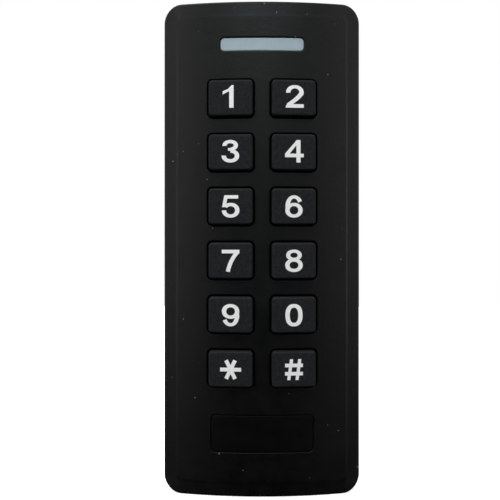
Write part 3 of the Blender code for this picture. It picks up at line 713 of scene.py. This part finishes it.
def front_shell():
    """Crowned face with its sloping border, the openings in it, and the bosses behind it."""
    shape = bmesh.new()
    seam, face = loft(shape, CASE_OUTLINE, case_profile())
    openings = []

    def cut(node, sides, corner, gap, steps, radius, floor):
        outline = Outline(middle(node), grown(sides, gap), corner + gap, 8, steps)
        upper, lower = opening(shape, outline, radius, floor)
        openings.append(upper)
        return lower

    mouths = [cut(f"keycap_{name}", KEY, KEY_CORNER, FIT, (8, 6), LIP_ROUND, KEY_STOP) for name in KEYS]
    mouths.append(cut("light_bar_lens", LENS, LENS_CORNER, LENS_GAP, (14, 3), WINDOW_ROUND, KEY_STOP))
    floor = on_crown(-BADGE_RECESS)
    recess = cut("badge_insert", BADGE, BADGE_CORNER, BADGE_GAP, (16, 6), RECESS_ROUND, floor)
    fill(shape, recess, (), floor)
    fill(shape, (face, CASE_OUTLINE, FACE_INSET), openings, on_crown(0.0), spacing=1.3)

    rim, skin_edge = loft(shape, CASE_OUTLINE, [(FRONT_WALL, PARTING), (FRONT_WALL, skin)])
    bridge(shape, rim, seam)
    board_front = span("main_board")[2][1]
    for corner in CORNERS:
        mouths.append(boss(shape, f"case_screw_{corner}", PARTING, *CASE_BOSS))
        mouths.append(boss(shape, f"board_screw_{corner}", board_front + FIT, *BOARD_BOSS))
    fill(shape, (skin_edge, CASE_OUTLINE, FRONT_WALL), mouths, skin, spacing=2.5)
    return shape


# ---- keys and legends


def key_top(name):
    """Height of a key's top, as a function: it leans with the crown and bulges a little."""
    x, y = middle(f"keycap_{name}")
    lean = crown_slope(x)
    level = crown(x) + KEY_PROUD

    def height(at_x, at_y):
        across = 2 * (at_x - x) / KEY[0]
        up = 2 * (at_y - y) / KEY[1]
        bulge = KEY_PILLOW * max(0.0, 1 - across**2) * max(0.0, 1 - up**2)
        return level + (at_x - x) * lean + bulge

    return height


def keycap(name):
    shape = bmesh.new()
    place = middle(f"keycap_{name}")
    outline = Outline(place, KEY, KEY_CORNER, 8, (8, 6))
    top = key_top(name)
    draft_start = KEY_STOP + FIT
    edge_inset = KEY_DRAFT * (top(*place) - KEY_ROUND - draft_start)
    flange_top = KEY_FOOT + FLANGE_THICKNESS
    soft = 0.1
    profile = [
        (soft - FLANGE_OVERHANG, KEY_FOOT), (-FLANGE_OVERHANG, KEY_FOOT + soft),
        (-FLANGE_OVERHANG, flange_top - soft), (soft - FLANGE_OVERHANG, flange_top),
        (-soft, flange_top), (0.0, flange_top + soft), (0.0, draft_start),
    ]
    for inset, drop in rounding(KEY_ROUND, 6):
        profile.append((edge_inset + inset, lambda x, y, drop=drop: top(x, y) - drop))
    profile.append((edge_inset + KEY_ROUND + 0.25, top))
    foot, rim = loft(shape, outline, profile)
    fill(shape, (rim, outline, profile[-1][0]), (), top, spacing=0.8)
    fill(shape, (foot, outline, profile[0][0]), (), KEY_FOOT, spacing=3.0)
    return shape


def bar(start, end, width):
    """A straight stroke with square ends, as one loop."""
    along = (Vector(end) - Vector(start)).normalized() * width / 2
    side = Vector((-along.y, along.x))
    return [[Vector(start) + side, Vector(start) - side, Vector(end) - side, Vector(end) + side]]


def corner_point(centre, reach, angle, squareness):
    """A point of a superellipse."""
    c, s = math.cos(angle), math.sin(angle)
    power = 2.0 / squareness
    return Vector((
        centre[0] + reach[0] * math.copysign(abs(c) ** power, c),
        centre[1] + reach[1] * math.copysign(abs(s) ** power, s),
    ))


def bowl(centre, outer, start=0.0, end=360.0, weight=(1.1, 0.82), squareness=2.1):
    """A curved stroke: a band inside a superellipse of these half sizes, between two angles in degrees.

    weight is its width at the sides, and at the top and bottom."""
    inner = (outer[0] - weight[0], outer[1] - weight[1])
    whole = abs(end - start) >= 360.0
    steps = max(8, round(abs(end - start) / 9))
    angles = [math.radians(start + (end - start) * i / steps) for i in range(steps + (not whole))]
    outside = [corner_point(centre, outer, a, squareness) for a in angles]
    inside = [corner_point(centre, inner, a, squareness) for a in angles]
    if whole:
        return [outside, inside]
    return [outside + inside[::-1]]


def polygon(*points):
    return [[Vector(point) for point in points]]


def sweep(points, widths):
    """A stroke along a quadratic curve through three control points, whose width changes evenly."""
    first, second, third = (Vector(point) for point in points)
    left, right = [], []
    steps = 14
    for step in range(steps + 1):
        t = step / steps
        at = (1 - t) ** 2 * first + 2 * t * (1 - t) * second + t**2 * third
        ahead = (2 * (1 - t) * (second - first) + 2 * t * (third - second)).normalized()
        side = Vector((-ahead.y, ahead.x)) * (widths[0] + (widths[1] - widths[0]) * t) / 2
        left.append(at + side)
        right.append(at - side)
    return [left + right[::-1]]


def nine_strokes(up, turn=0.0):
    """A nine's bowl at this height and its tail, which turned half round makes a six."""
    return [
        bowl((0.0, up), (2.18, 1.84)),
        bowl((0.02, 0.0), (2.16, 2.78), turn - 95.0, turn + 5.0),
        bowl((0.02, 0.0), (2.24, 2.78), turn - 152.0, turn - 90.0),
    ]


# Each legend is a list of strokes, in millimetres from the middle of its own box.
LEGENDS = {
    "1": [
        polygon(
            (0.25, -2.83), (1.36, -2.83), (1.36, 2.81), (0.86, 2.81),
            (0.52, 2.42), (-0.12, 1.84), (-1.36, 1.34), (-1.36, 0.50), (0.25, 1.34),
        ),
    ],
    "2": [
        bowl((0.03, 1.02), (2.20, 1.80), -22.0, 184.0),
        sweep(((1.62, 0.78), (1.22, -0.18), (-1.76, -2.24)), (1.1, 0.95)),
        polygon((-2.28, -2.83), (2.26, -2.83), (2.26, -1.92), (-0.72, -1.92), (-1.62, -1.80), (-2.14, -2.2)),
    ],
    "3": [
        bowl((-0.08, 1.45), (1.94, 1.36), -88.0, 186.0, (1.08, 0.82)),
        bowl((-0.04, -1.18), (2.20, 1.64), -184.0, 90.0, (1.12, 0.84)),
        polygon((-0.66, 0.12), (0.1, 0.08), (0.1, 0.80), (-0.66, 0.78)),
    ],
    "4": [
        bar((1.02, 2.80), (1.02, -2.80), 1.04),
        bar((-2.34, -1.06), (2.34, -1.06), 0.90),
        polygon((0.60, 2.80), (-2.34, -0.64), (-2.34, -1.02), (-1.24, -0.66), (0.55, 1.52), (0.8, 2.2)),
    ],
    "5": [
        polygon((-1.42, 1.94), (1.90, 1.94), (1.90, 2.80), (-1.58, 2.80)),
        polygon((-1.58, 2.80), (-0.78, 2.2), (-1.16, -0.16), (-2.12, -0.20)),
        bowl((0.02, -0.96), (2.21, 1.85), -179.0, 146.0, (1.1, 0.84)),
    ],
    "6": nine_strokes(-0.95, 180.0),
    "7": [
        bar((-2.2, 2.30), (2.2, 2.30), 0.90),
        sweep(((1.76, 2.3), (-0.12, 0.1), (-0.68, -2.72)), (0.96, 1.02)),
        polygon((1.0, 2.7), (2.2, 2.7), (2.2, 2.0), (1.7, 1.35), (1.0, 1.6)),
    ],
    "8": [
        bowl((0.0, 1.40), (1.96, 1.40), weight=(1.04, 0.78)),
        bowl((0.0, -1.10), (2.20, 1.70), weight=(1.1, 0.82)),
    ],
    "9": nine_strokes(0.95),
    "0": [bowl((0.0, 0.0), (2.16, 2.79), weight=(1.1, 0.9), squareness=2.35)],
    "star": [
        bar((-2.62, 0.0), (2.62, 0.0), 0.96),
        bar((-1.12, -2.30), (1.12, 2.30), 0.96),
        bar((-1.12, 2.30), (1.12, -2.30), 0.96),
    ],
    "hash": [
        bar((-2.24, 1.04), (2.24, 1.04), 0.9),
        bar((-2.24, -1.02), (2.24, -1.02), 0.9),
        polygon((-1.00, 2.60), (-0.18, 2.60), (-0.92, -2.60), (-1.72, -2.60)),
        polygon((1.06, 2.60), (1.86, 2.60), (1.16, -2.60), (0.36, -2.60)),
    ],
}

# How far the print on these keys is off their middles. The print on the others is central.
REGISTER = {"1": (-0.6, 0.3), "2": (0.2, 0.3), "3": (0.0, 0.2), "4": (0.1, 0.2)}
PRINT_HEIGHT = 0.025
PRINT_DEPTH = 0.02


def crossings(loop, x, y):
    """How many edges of a loop lie to the right of a point."""
    count = 0
    for a, b in zip(loop, loop[1:] + loop[:1]):
        if (a.y > y) != (b.y > y) and x < a.x + (y - a.y) * (b.x - a.x) / (b.y - a.y):
            count += 1
    return count


def legend(name):
    """A legend's strokes, joined into one thin print that follows the top of its key."""
    key = middle(f"keycap_{name}")
    at = Vector(key) + Vector(REGISTER.get(name, (0.0, 0.0)))
    strokes = [[[point + at for point in loop] for loop in stroke] for stroke in LEGENDS[name]]
    points = []
    edges = []
    for stroke in strokes:
        for loop in stroke:
            first = len(points)
            points += loop
            edges += [(first + i, first + (i + 1) % len(loop)) for i in range(len(loop))]
    places, _, triangles, _, _, _ = delaunay_2d_cdt(points, edges, [], 0, 1e-5)
    top = key_top(name)
    shape = bmesh.new()
    upper = [shape.verts.new((p.x, p.y, top(p.x, p.y) + PRINT_HEIGHT)) for p in places]
    lower = [shape.verts.new((p.x, p.y, top(p.x, p.y) - PRINT_DEPTH)) for p in places]
    sides = {}
    for triangle in triangles:
        centre = sum((places[i] for i in triangle), Vector((0.0, 0.0))) / 3
        if not any(sum(crossings(loop, *centre) for loop in stroke) % 2 for stroke in strokes):
            continue
        shape.faces.new([upper[i] for i in triangle])
        shape.faces.new([lower[i] for i in reversed(triangle)])
        for i, j in zip(triangle, triangle[1:] + triangle[:1]):
            if (j, i) in sides:
                del sides[(j, i)]
            else:
                sides[(i, j)] = True
    for i, j in sides:
        shape.faces.new((upper[j], upper[i], lower[i], lower[j]))
    for vertex in [v for v in shape.verts if not v.link_faces]:
        shape.verts.remove(vertex)
    return shape


# ---- keypad mat


def keypad_mat():
    """Silicone sheet with an opening under each dome and a window for each backlight."""
    shape = bmesh.new()
    soft = 0.12
    mat = Outline(middle("keypad_membrane"), size("keypad_membrane"), 2.0, 8, (6, 16))
    holes = [Circle(middle(f"keycap_{name}"), HOLLOW_RADII[0], 32) for name in KEYS]
    holes += [Outline(middle(f"key_backlight_{number}"), LIGHT_HOLE, 0.5, 4, (2, 2)) for number in (1, 2, 3)]
    around = [(inset, MAT_FRONT - drop) for inset, drop in reversed(rounding(soft, 2))]
    around += [(inset, MAT_BACK + drop) for inset, drop in rounding(soft, 2)]
    sheet(shape, mat, holes, around, [(0.0, MAT_FRONT), (0.0, MAT_BACK)], spacing=3.0)
    return shape


def dome(name):
    """Hollow dome that springs the key back. Only its rest shape is drawn, not its buckling under the key."""
    foot, top = DOME_RADII
    hollow_foot, hollow_top = HOLLOW_RADII
    profile = [
        (0.0, DOME_ROOF), (hollow_top - 0.3, DOME_ROOF), (hollow_top, DOME_ROOF - 0.3),
        (hollow_foot, DOME_FOOT), (foot, DOME_FOOT), (top + 0.05, DOME_TOP - 0.3),
        (top - 0.1, DOME_TOP - 0.08), (top - 0.35, DOME_TOP), (0.0, DOME_TOP),
    ]
    return turned(profile, over(f"keycap_{name}"), steps=32)


def stem(name):
    """Post inside the dome that carries the carbon pill."""
    radius, foot, top = STEM
    profile = [(0.0, foot), (radius - 0.15, foot), (radius, foot + 0.15), (radius, top), (0.0, top)]
    return turned(profile, over(f"keycap_{name}"), steps=24)


# ---- lens and badge


def lens():
    """Bar with a chamfered edge, on the flange that keeps it in. Its chamfer takes a second, lighter material
    as a painted highlight.
    """
    shape = bmesh.new()
    outline = Outline(middle("light_bar_lens"), LENS, LENS_CORNER, 8, (14, 3))
    top = on_crown(-LENS_RECESS)
    flange_top = KEY_STOP - FIT
    profile = [
        (0.0, LENS_FOOT), (0.0, LENS_FOOT + 0.5), (-LENS_FLANGE, LENS_FOOT + 0.5),
        (-LENS_FLANGE, flange_top), (0.0, flange_top),
        (0.0, on_crown(-LENS_RECESS - LENS_EDGE)),
        (0.3 * LENS_EDGE, on_crown(-LENS_RECESS - 0.3 * LENS_EDGE)), (LENS_EDGE, top),
        (LENS_EDGE + 0.1, top),
    ]
    foot, rim = loft(shape, outline, profile)
    # The chamfer's faces get the second material, whose lighter colour is a painted highlight.
    chamfered = LENS_EDGE + 0.01
    for face in shape.faces:
        point = face.calc_center_median()
        high = point.z > crown(point.x) - LENS_RECESS - chamfered
        if high and outline.distance(point.x, point.y) > -chamfered:
            face.material_index = 1
    fill(shape, (rim, outline, LENS_EDGE + 0.1), (), top, spacing=0.8)
    fill(shape, (foot, outline, 0.0), (), LENS_FOOT, spacing=2.0)
    return shape


def badge():
    """Blank plate with softly rounded edges."""
    shape = bmesh.new()
    outline = Outline(middle("badge_insert"), BADGE, BADGE_CORNER, 8, (16, 6))
    low, high, soft = -0.45, -0.12, 0.07
    profile = [(0.0, on_crown(low))]
    profile += [(inset, on_crown(high - drop)) for inset, drop in rounding(soft, 3)]
    profile.append((soft + 0.2, on_crown(high)))
    foot, rim = loft(shape, outline, profile)
    fill(shape, (rim, outline, soft + 0.2), (), on_crown(high), spacing=1.3)
    fill(shape, (foot, outline, 0.0), (), on_crown(low), spacing=2.0)
    return shape


# ---- rear cover and what is fixed in it


DOWN = Matrix.Rotation(math.pi / 2, 4, "X")  # its Z points to the reader's bottom
TO_WALL = Matrix.Rotation(math.pi, 4, "X")
# A prism drawn in Y and Z and extruded in X, and one drawn in X and Z and extruded in Y
SIDEWAYS = Matrix(((0, 0, 1, 0), (1, 0, 0, 0), (0, 1, 0, 0), (0, 0, 0, 1)))
UPRIGHT = Matrix(((1, 0, 0, 0), (0, 0, 1, 0), (0, 1, 0, 0), (0, 0, 0, 1)))


def rear_shell():
    """Tub with a panel across it: screw posts and a lock housing in front, pockets behind."""
    shape = bmesh.new()
    soft = 0.12
    profile = [
        (REAR_WALL, PANEL_FRONT), (REAR_WALL, LEDGE_HEIGHT), (LEDGE_INSET, LEDGE_HEIGHT),
        (LEDGE_INSET, RIM_FRONT - soft), (LEDGE_INSET - soft, RIM_FRONT),
        (EDGE_ROUND + SUPPORT, RIM_FRONT),
    ]
    profile += [(inset, RIM_FRONT - drop) for inset, drop in reversed(rounding(EDGE_ROUND))]
    profile += [(0.0, RIM_FRONT - EDGE_ROUND - SUPPORT), (0.0, RIM_BACK + EDGE_ROUND + SUPPORT)]
    profile += [(inset, RIM_BACK + drop) for inset, drop in rounding(EDGE_ROUND)]
    profile += [
        (EDGE_ROUND + SUPPORT, RIM_BACK), (REAR_WALL - soft, RIM_BACK),
        (REAR_WALL, RIM_BACK + soft), (REAR_WALL, PANEL_BACK),
    ]
    front_rim, back_rim = loft(shape, CASE_OUTLINE, profile)
    front_holes = []
    back_holes = []

    def through(outline, steps):
        first, last = loft(shape, outline, steps)
        front_holes.append((first, outline, steps[0][0]))
        back_holes.append((last, outline, steps[-1][0]))

    edges = [(-soft, PANEL_FRONT), (0.0, PANEL_FRONT - soft), (0.0, PANEL_BACK + soft), (-soft, PANEL_BACK)]
    for node, radius in PANEL_HOLES.items():
        through(Circle(middle(node), radius, 48), edges)
    post, bore = POST
    for corner in CORNERS:
        steps = [
            (0.0, PANEL_FRONT), (0.0, RIM_FRONT - soft), (soft, RIM_FRONT),
            (post - bore - soft, RIM_FRONT), (post - bore, RIM_FRONT - soft),
            (post - bore, SCREW_SEAT), (post - HEAD_POCKET, SCREW_SEAT),
            (post - HEAD_POCKET, PANEL_BACK + soft), (post - HEAD_POCKET - soft, PANEL_BACK),
        ]
        through(Circle(middle(f"case_screw_{corner}"), post, 32), steps)

    foot = 0.2 - CASE[1] / 2 + REAR_WALL
    width, inner_end, housing_top = HOUSING
    housing = Outline((0.0, (foot + inner_end) / 2), (width, inner_end - foot), 0.6, 4, (6, 3))
    first, last = loft(shape, housing, [(0.0, PANEL_FRONT), (0.0, housing_top - soft), (soft, housing_top)])
    fill(shape, (last, housing, soft), (), housing_top, spacing=2.0)
    front_holes.append((first, housing, 0.0))
    width, inner_end, pocket_top = HOUSING_POCKET
    pocket = Outline((0.0, (foot + inner_end) / 2), (width, inner_end - foot), 0.4, 4, (6, 3))
    last, first = loft(shape, pocket, [(0.0, pocket_top), (0.0, PANEL_BACK + soft), (-soft, PANEL_BACK)])
    fill(shape, (last, pocket, 0.0), (), pocket_top, spacing=2.0)
    back_holes.append((first, pocket, -soft))
    fill(shape, (front_rim, CASE_OUTLINE, REAR_WALL), front_holes, PANEL_FRONT, spacing=4.0)
    fill(shape, (back_rim, CASE_OUTLINE, REAR_WALL), back_holes, PANEL_BACK, spacing=4.0)
    return shape


def rear_cuts():
    """Hook pockets inside the top wall, and the lock screw's hole and head well in the bottom one."""
    wall = CASE[1] / 2 - REAR_WALL
    reach = HOOK_WIDTH / 2 + FIT
    up = (wall - 0.5, wall + 1.6)
    out = (1.3, PANEL_BACK - 0.01)
    cuts = [box((side * HOOK_X - reach, side * HOOK_X + reach), up, out) for side in (-1, 1)]
    lock_height = sum(span("security_screw")[2]) / 2
    bottom = -CASE[1] / 2
    radius, well_radius = 1.55, 2.9
    inner_end, step, outer_end = -(bottom + REAR_WALL + 1.0), -(bottom + 1.4), 1.0 - bottom
    profile = [(0.0, inner_end), (radius, inner_end), (radius, step)]
    profile += [(well_radius, step), (well_radius, outer_end), (0.0, outer_end)]
    cuts.append(turned(profile, Matrix.Translation((0.0, 0.0, lock_height)) @ DOWN))
    return cuts


def grommet():
    """Rubber bush, grooved round its waist to grip the panel."""
    bore, waist, rim = 3.3, 4.3, 5.8
    back, front = span("cable_grommet")[2]
    soft = 0.4
    front_rim = rim - 0.3
    turns = (0.0, 0.5, 1.0, math.pi / 2)
    lower = [(rim - soft + soft * math.cos(a), back + soft - soft * math.sin(a)) for a in turns]
    profile = [
        (bore + 0.25, front), (front_rim - 0.6, front), (front_rim - 0.25, front - 0.15),
        (front_rim, PANEL_FRONT + FIT + 0.2), (front_rim - 0.1, PANEL_FRONT + FIT),
        (waist, PANEL_FRONT + FIT), (waist, PANEL_BACK - FIT), (rim - 0.1, PANEL_BACK - FIT),
        (rim, PANEL_BACK - FIT - 0.1),
        *lower,
        (bore + 0.7, back), (bore + 0.5, back + 0.25), (bore + 0.3, back + 0.1),
        (bore, back + 0.35), (bore, front - 0.25), (bore + 0.25, front),
    ]
    shape = turned(profile, over("cable_grommet"))
    bmesh.ops.remove_doubles(shape, verts=shape.verts, dist=1e-5)
    return shape


def photocell():
    """Round sensor with a domed face towards the wall, and its two legs."""
    shape = bmesh.new()
    x, y = middle("tamper_photocell")
    back, seat = span("tamper_photocell")[2]
    radius, front = 2.5, 5.8
    turns = (0.4, 0.8, 1.2, math.pi / 2)
    window = [(radius * 0.8 * math.sin(a), back + 0.35 * (1 - math.cos(a))) for a in turns]
    profile = [(0.0, back), *window, (radius - 0.15, back + 0.45), (radius, back + 0.6)]
    profile += [(radius, front - 0.15), (radius - 0.15, front), (0.0, front)]
    lathe(shape, profile, Matrix.Translation((x, y, 0.0)))
    for side in (-1, 1):
        leg = [(0.0, front - 0.4), (0.3, front - 0.4), (0.3, seat - 0.1), (0.2, seat), (0.0, seat)]
        lathe(shape, leg, Matrix.Translation((x + side * 1.7, y, 0.0)), steps=12)
    return shape


def screw(place, head, shank, pitch=0.8):
    """Cheese-head screw with a hexagonal socket, drawn from its head's seat."""
    socket = 0.45 * head[0]
    floor = 0.3 * head[1]
    soft = 0.3
    profile = [(0.0, floor), (socket, floor, True), (socket, head[1] - 0.1, True)]
    profile += [(socket + 0.1, head[1], True), (head[0] - soft - SUPPORT, head[1])]
    profile += [(head[0] - inset, head[1] - drop) for inset, drop in reversed(rounding(soft))]
    profile += [(head[0], 0.1), (head[0] - 0.1, 0.0), (shank[0], 0.0), (shank[0], -0.4)]
    root = shank[0] - 0.16
    for turn in range(int((shank[1] - 1.0) / pitch)):
        level = -0.4 - turn * pitch
        profile += [(root, level - 0.25 * pitch), (root, level - 0.35 * pitch)]
        profile += [(shank[0], level - 0.6 * pitch), (shank[0], level - pitch)]
    profile += [(shank[0] - 0.35, -shank[1]), (0.0, -shank[1])]
    return turned(profile, place)


def wall_plate():
    """Steel sheet with wall-screw slots, a cable opening, two joggled hooks and a threaded tongue."""
    shape = bmesh.new()
    soft = 0.15
    plate = Outline((0.0, 0.0), PLATE, PLATE_CORNER, 10, (10, 24))
    slots = [
        Outline((0.0, side * spacing / 2), SLOT, SLOT[0] / 2 - 0.02, 12, (1, 4))
        for spacing in SLOT_SPACINGS
        for side in (-1, 1)
    ]
    slots.append(Outline((0.0, middle("cable_grommet")[1]), CABLE_OPENING, PLATE_CORNER, 10, (8, 4)))
    flat = soft + 0.3
    around = [(flat, SHEET), *((inset, SHEET - drop) for inset, drop in reversed(rounding(soft, 3)))]
    around += [*rounding(soft, 3), (flat, 0.0)]
    sheet(shape, plate, slots, around, [(-inset, height) for inset, height in around], spacing=4.0)

    riser = PLATE[1] / 2 - 3.5
    hook_back, hook_end = 1.6, CASE[1] / 2 - 1.3
    hook_front = hook_back + SHEET
    outline = [(riser, SHEET / 2), (riser + SHEET, SHEET / 2)]
    outline += arc((riser + SHEET + 0.2, hook_back - 0.2), 0.2, 180, 90, 4)
    outline += arc((hook_end - 0.3, hook_back + 0.3), 0.3, -90, 0, 4)
    outline += arc((hook_end - 0.5, hook_front - 0.5), 0.5, 0, 90, 5)
    outline += arc((riser + 1.0, hook_front - 1.0), 1.0, 90, 180, 6)
    for side in (-1, 1):
        left = side * HOOK_X - HOOK_WIDTH / 2
        prism(shape, outline, left, left + HOOK_WIDTH, SIDEWAYS)

    tongue_y = REAR_WALL - CASE[1] / 2 + TONGUE_GAP
    tongue_top = 6.0
    rounded = 1.2
    half = LOCK_TONGUE / 2
    outline = [(-half, SHEET / 2), (half, SHEET / 2)]
    outline += arc((half - rounded, tongue_top - rounded), rounded, 0, 90)
    outline += arc((rounded - half, tongue_top - rounded), rounded, 90, 180)
    prism(shape, outline, tongue_y, tongue_y + SHEET, UPRIGHT)
    return shape


def thread_hole():
    """The hole in the tongue for the security screw."""
    start = CASE[1] / 2 - REAR_WALL - TONGUE_GAP
    place = Matrix.Translation((0.0, 0.0, sum(span("security_screw")[2]) / 2)) @ DOWN
    low, high = start - SHEET - 0.5, start + 0.5
    return turned([(0.0, low), (THREAD_RADIUS, low), (THREAD_RADIUS, high), (0.0, high)], place)


# ---- pieces


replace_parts(made("front_shell", front_shell(), "case_black"), "front_cover")
light_bar = made("light_bar", lens(), "frosted_lens")
# The lens's second material paints a highlight on its chamfer.
light_bar.data.materials.append(LENS_RIM_HIGHLIGHT)
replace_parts(light_bar, "light_bar_lens")
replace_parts(made("blank_badge", badge(), "badge_black"), "badge_insert")
for key in KEYS:
    cap = made(f"key_{key}_cap", keycap(key), "key_black", f"key_{key}")
    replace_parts(cap, f"keycap_{key}")
    made(f"key_{key}_legend", legend(key), "key_black", f"key_{key}", PRINT)
    spring = made(f"key_{key}_dome", dome(key), "grey_silicone")
    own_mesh(spring)
    made(f"key_{key}_stem", stem(key), "grey_silicone", f"key_{key}")
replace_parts(made("keypad_mat", keypad_mat(), "grey_silicone"), "keypad_membrane")

rear = made("rear_shell", rear_shell(), "case_black")
carve(rear, rear_cuts())
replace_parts(rear, "rear_cover")
plate = made("steel_wall_plate", wall_plate(), "zinc_steel")
carve(plate, [thread_hole()])
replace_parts(plate, "wall_plate")
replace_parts(made("grommet", grommet(), "black_rubber"), "cable_grommet")
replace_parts(made("photocell", photocell(), "white_plastic"), "tamper_photocell")

for kind, (head, shank) in SCREWS.items():
    for corner in CORNERS:
        node = f"{kind}_screw_{corner}"
        place = over(node, span(node)[2][0] + head[1]) @ TO_WALL
        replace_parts(made(f"{node}_turned", screw(place, head, shank), "zinc_steel"), node)
_, up, out = span("security_screw")
place = Matrix.Translation((0.0, up[0] + SECURITY_SCREW[0][1], sum(out) / 2)) @ DOWN
lock = made("security_screw_turned", screw(place, *SECURITY_SCREW), "zinc_steel")
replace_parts(lock, "security_screw")

for part in frame["record"]["subparts"]:
    mesh = frame["nodes"][part["node"]].data
    mesh.materials.clear()
    mesh.materials.append(MATERIALS[part["material_slot"]])


# ---- studio


def floor():
    """A round pale table top under the reader."""
    shape = bmesh.new()
    radius = 500.0
    low = span("rear_cover")[1][0] - 0.1
    profile = [(0.0, 0.0), *((radius * share, 0.0) for share in (0.25, 0.5, 0.75, 1.0))]
    lathe(shape, profile, Matrix.Identity(4), steps=96)
    for vertex in shape.verts:
        vertex.co = Vector((vertex.co.x * MM, vertex.co.y * MM, low * MM))
    mesh = bpy.data.meshes.new("floor")
    shape.to_mesh(mesh)
    shape.free()
    table = placed("floor", mesh)
    paint = Paint("pale_floor", 0.9, specular=0.1)
    pale = paint.mixed(paint.noise(60.0), (0.90, 0.90, 0.90), (0.92, 0.92, 0.92))
    paint.colour(pale)
    paint.links.new(pale, paint.shader.inputs["Emission Color"])
    paint.shader.inputs["Emission Strength"].default_value = 0.75
    mesh.materials.append(paint.material)
    table.visible_glossy = False
    table.visible_diffuse = False


def softbox(name, azimuth, elevation, power):
    """An area light a metre from the reader and aimed at it. Azimuth 0 is straight ahead, and 90 right."""
    a, e = math.radians(azimuth), math.radians(elevation)
    back = Vector((math.sin(a) * math.cos(e), -math.cos(a) * math.cos(e), math.sin(e)))
    lamp = bpy.data.lights.new(name, "AREA")
    lamp.shape = "RECTANGLE"
    lamp.size, lamp.size_y = SOFTBOX
    lamp.energy = power
    if azimuth == 0.0:
        lamp.color = AHEAD_TINT
    light = placed(name, lamp)
    light.location = back
    light.rotation_mode = "QUATERNION"
    light.rotation_quaternion = (-back).to_track_quat("-Z", "Y")
    light.visible_camera = False


def world():
    """White behind everything, which gives no light."""
    sky = bpy.data.worlds.new("studio")
    sky.use_nodes = True
    bpy.context.scene.world = sky
    nodes, links = sky.node_tree.nodes, sky.node_tree.links
    nodes.clear()
    seen = nodes.new("ShaderNodeBackground")
    lit = nodes.new("ShaderNodeBackground")
    lit.inputs["Strength"].default_value = 0.0
    path = nodes.new("ShaderNodeLightPath")
    mix = nodes.new("ShaderNodeMixShader")
    seen.inputs["Color"].default_value = (1.0, 1.0, 1.0, 1.0)
    links.new(path.outputs["Is Camera Ray"], mix.inputs["Fac"])
    links.new(lit.outputs["Background"], mix.inputs[1])
    links.new(seen.outputs["Background"], mix.inputs[2])
    links.new(mix.outputs["Shader"], nodes.new("ShaderNodeOutputWorld").inputs["Surface"])


SOFTBOX = (0.45, 0.55)  # width and height, in metres
AHEAD_TINT = (0.87, 1.0, 0.985)  # colour of the softboxes straight ahead

# Azimuth, elevation and watts of the softboxes in front, which are brighter on the left, and of those behind
FRONT_LIGHTS = [
    (-80.0, 5.0, 1.7), (-40.0, 5.0, 1.3), (40.0, 5.0, 0.9), (80.0, 5.0, 1.6), (0.0, 20.0, 0.5),
    (-50.0, 35.0, 2.0), (0.0, 35.0, 2.5), (50.0, 35.0, 1.5), (-50.0, 65.0, 5.0),
    (50.0, 65.0, 2.0),
]
REAR_LIGHTS = [
    (180.0, 10.0, 2.5), (145.0, 35.0, 3.5), (-145.0, 35.0, 4.5), (110.0, 10.0, 0.8),
    (-110.0, 10.0, 0.8),
]
for number, (azimuth, elevation, watts) in enumerate(FRONT_LIGHTS + REAR_LIGHTS):
    softbox(f"softbox_{number}", azimuth, elevation, watts)
world()
floor()

camera = placed("camera", bpy.data.cameras.new("camera"))
camera.location = (-4.2 * MM, -222.0 * MM, 4.3 * MM)
camera.rotation_euler = (math.pi / 2, 0.0, 0.0)
camera.data.lens = 57.45
camera.data.sensor_width = 36.0
camera.data.shift_x = 0.0092
camera.data.shift_y = -0.036
camera.data.clip_start = 10 * MM
bpy.context.scene.camera = camera
bpy.context.scene.view_settings.view_transform = "Standard"
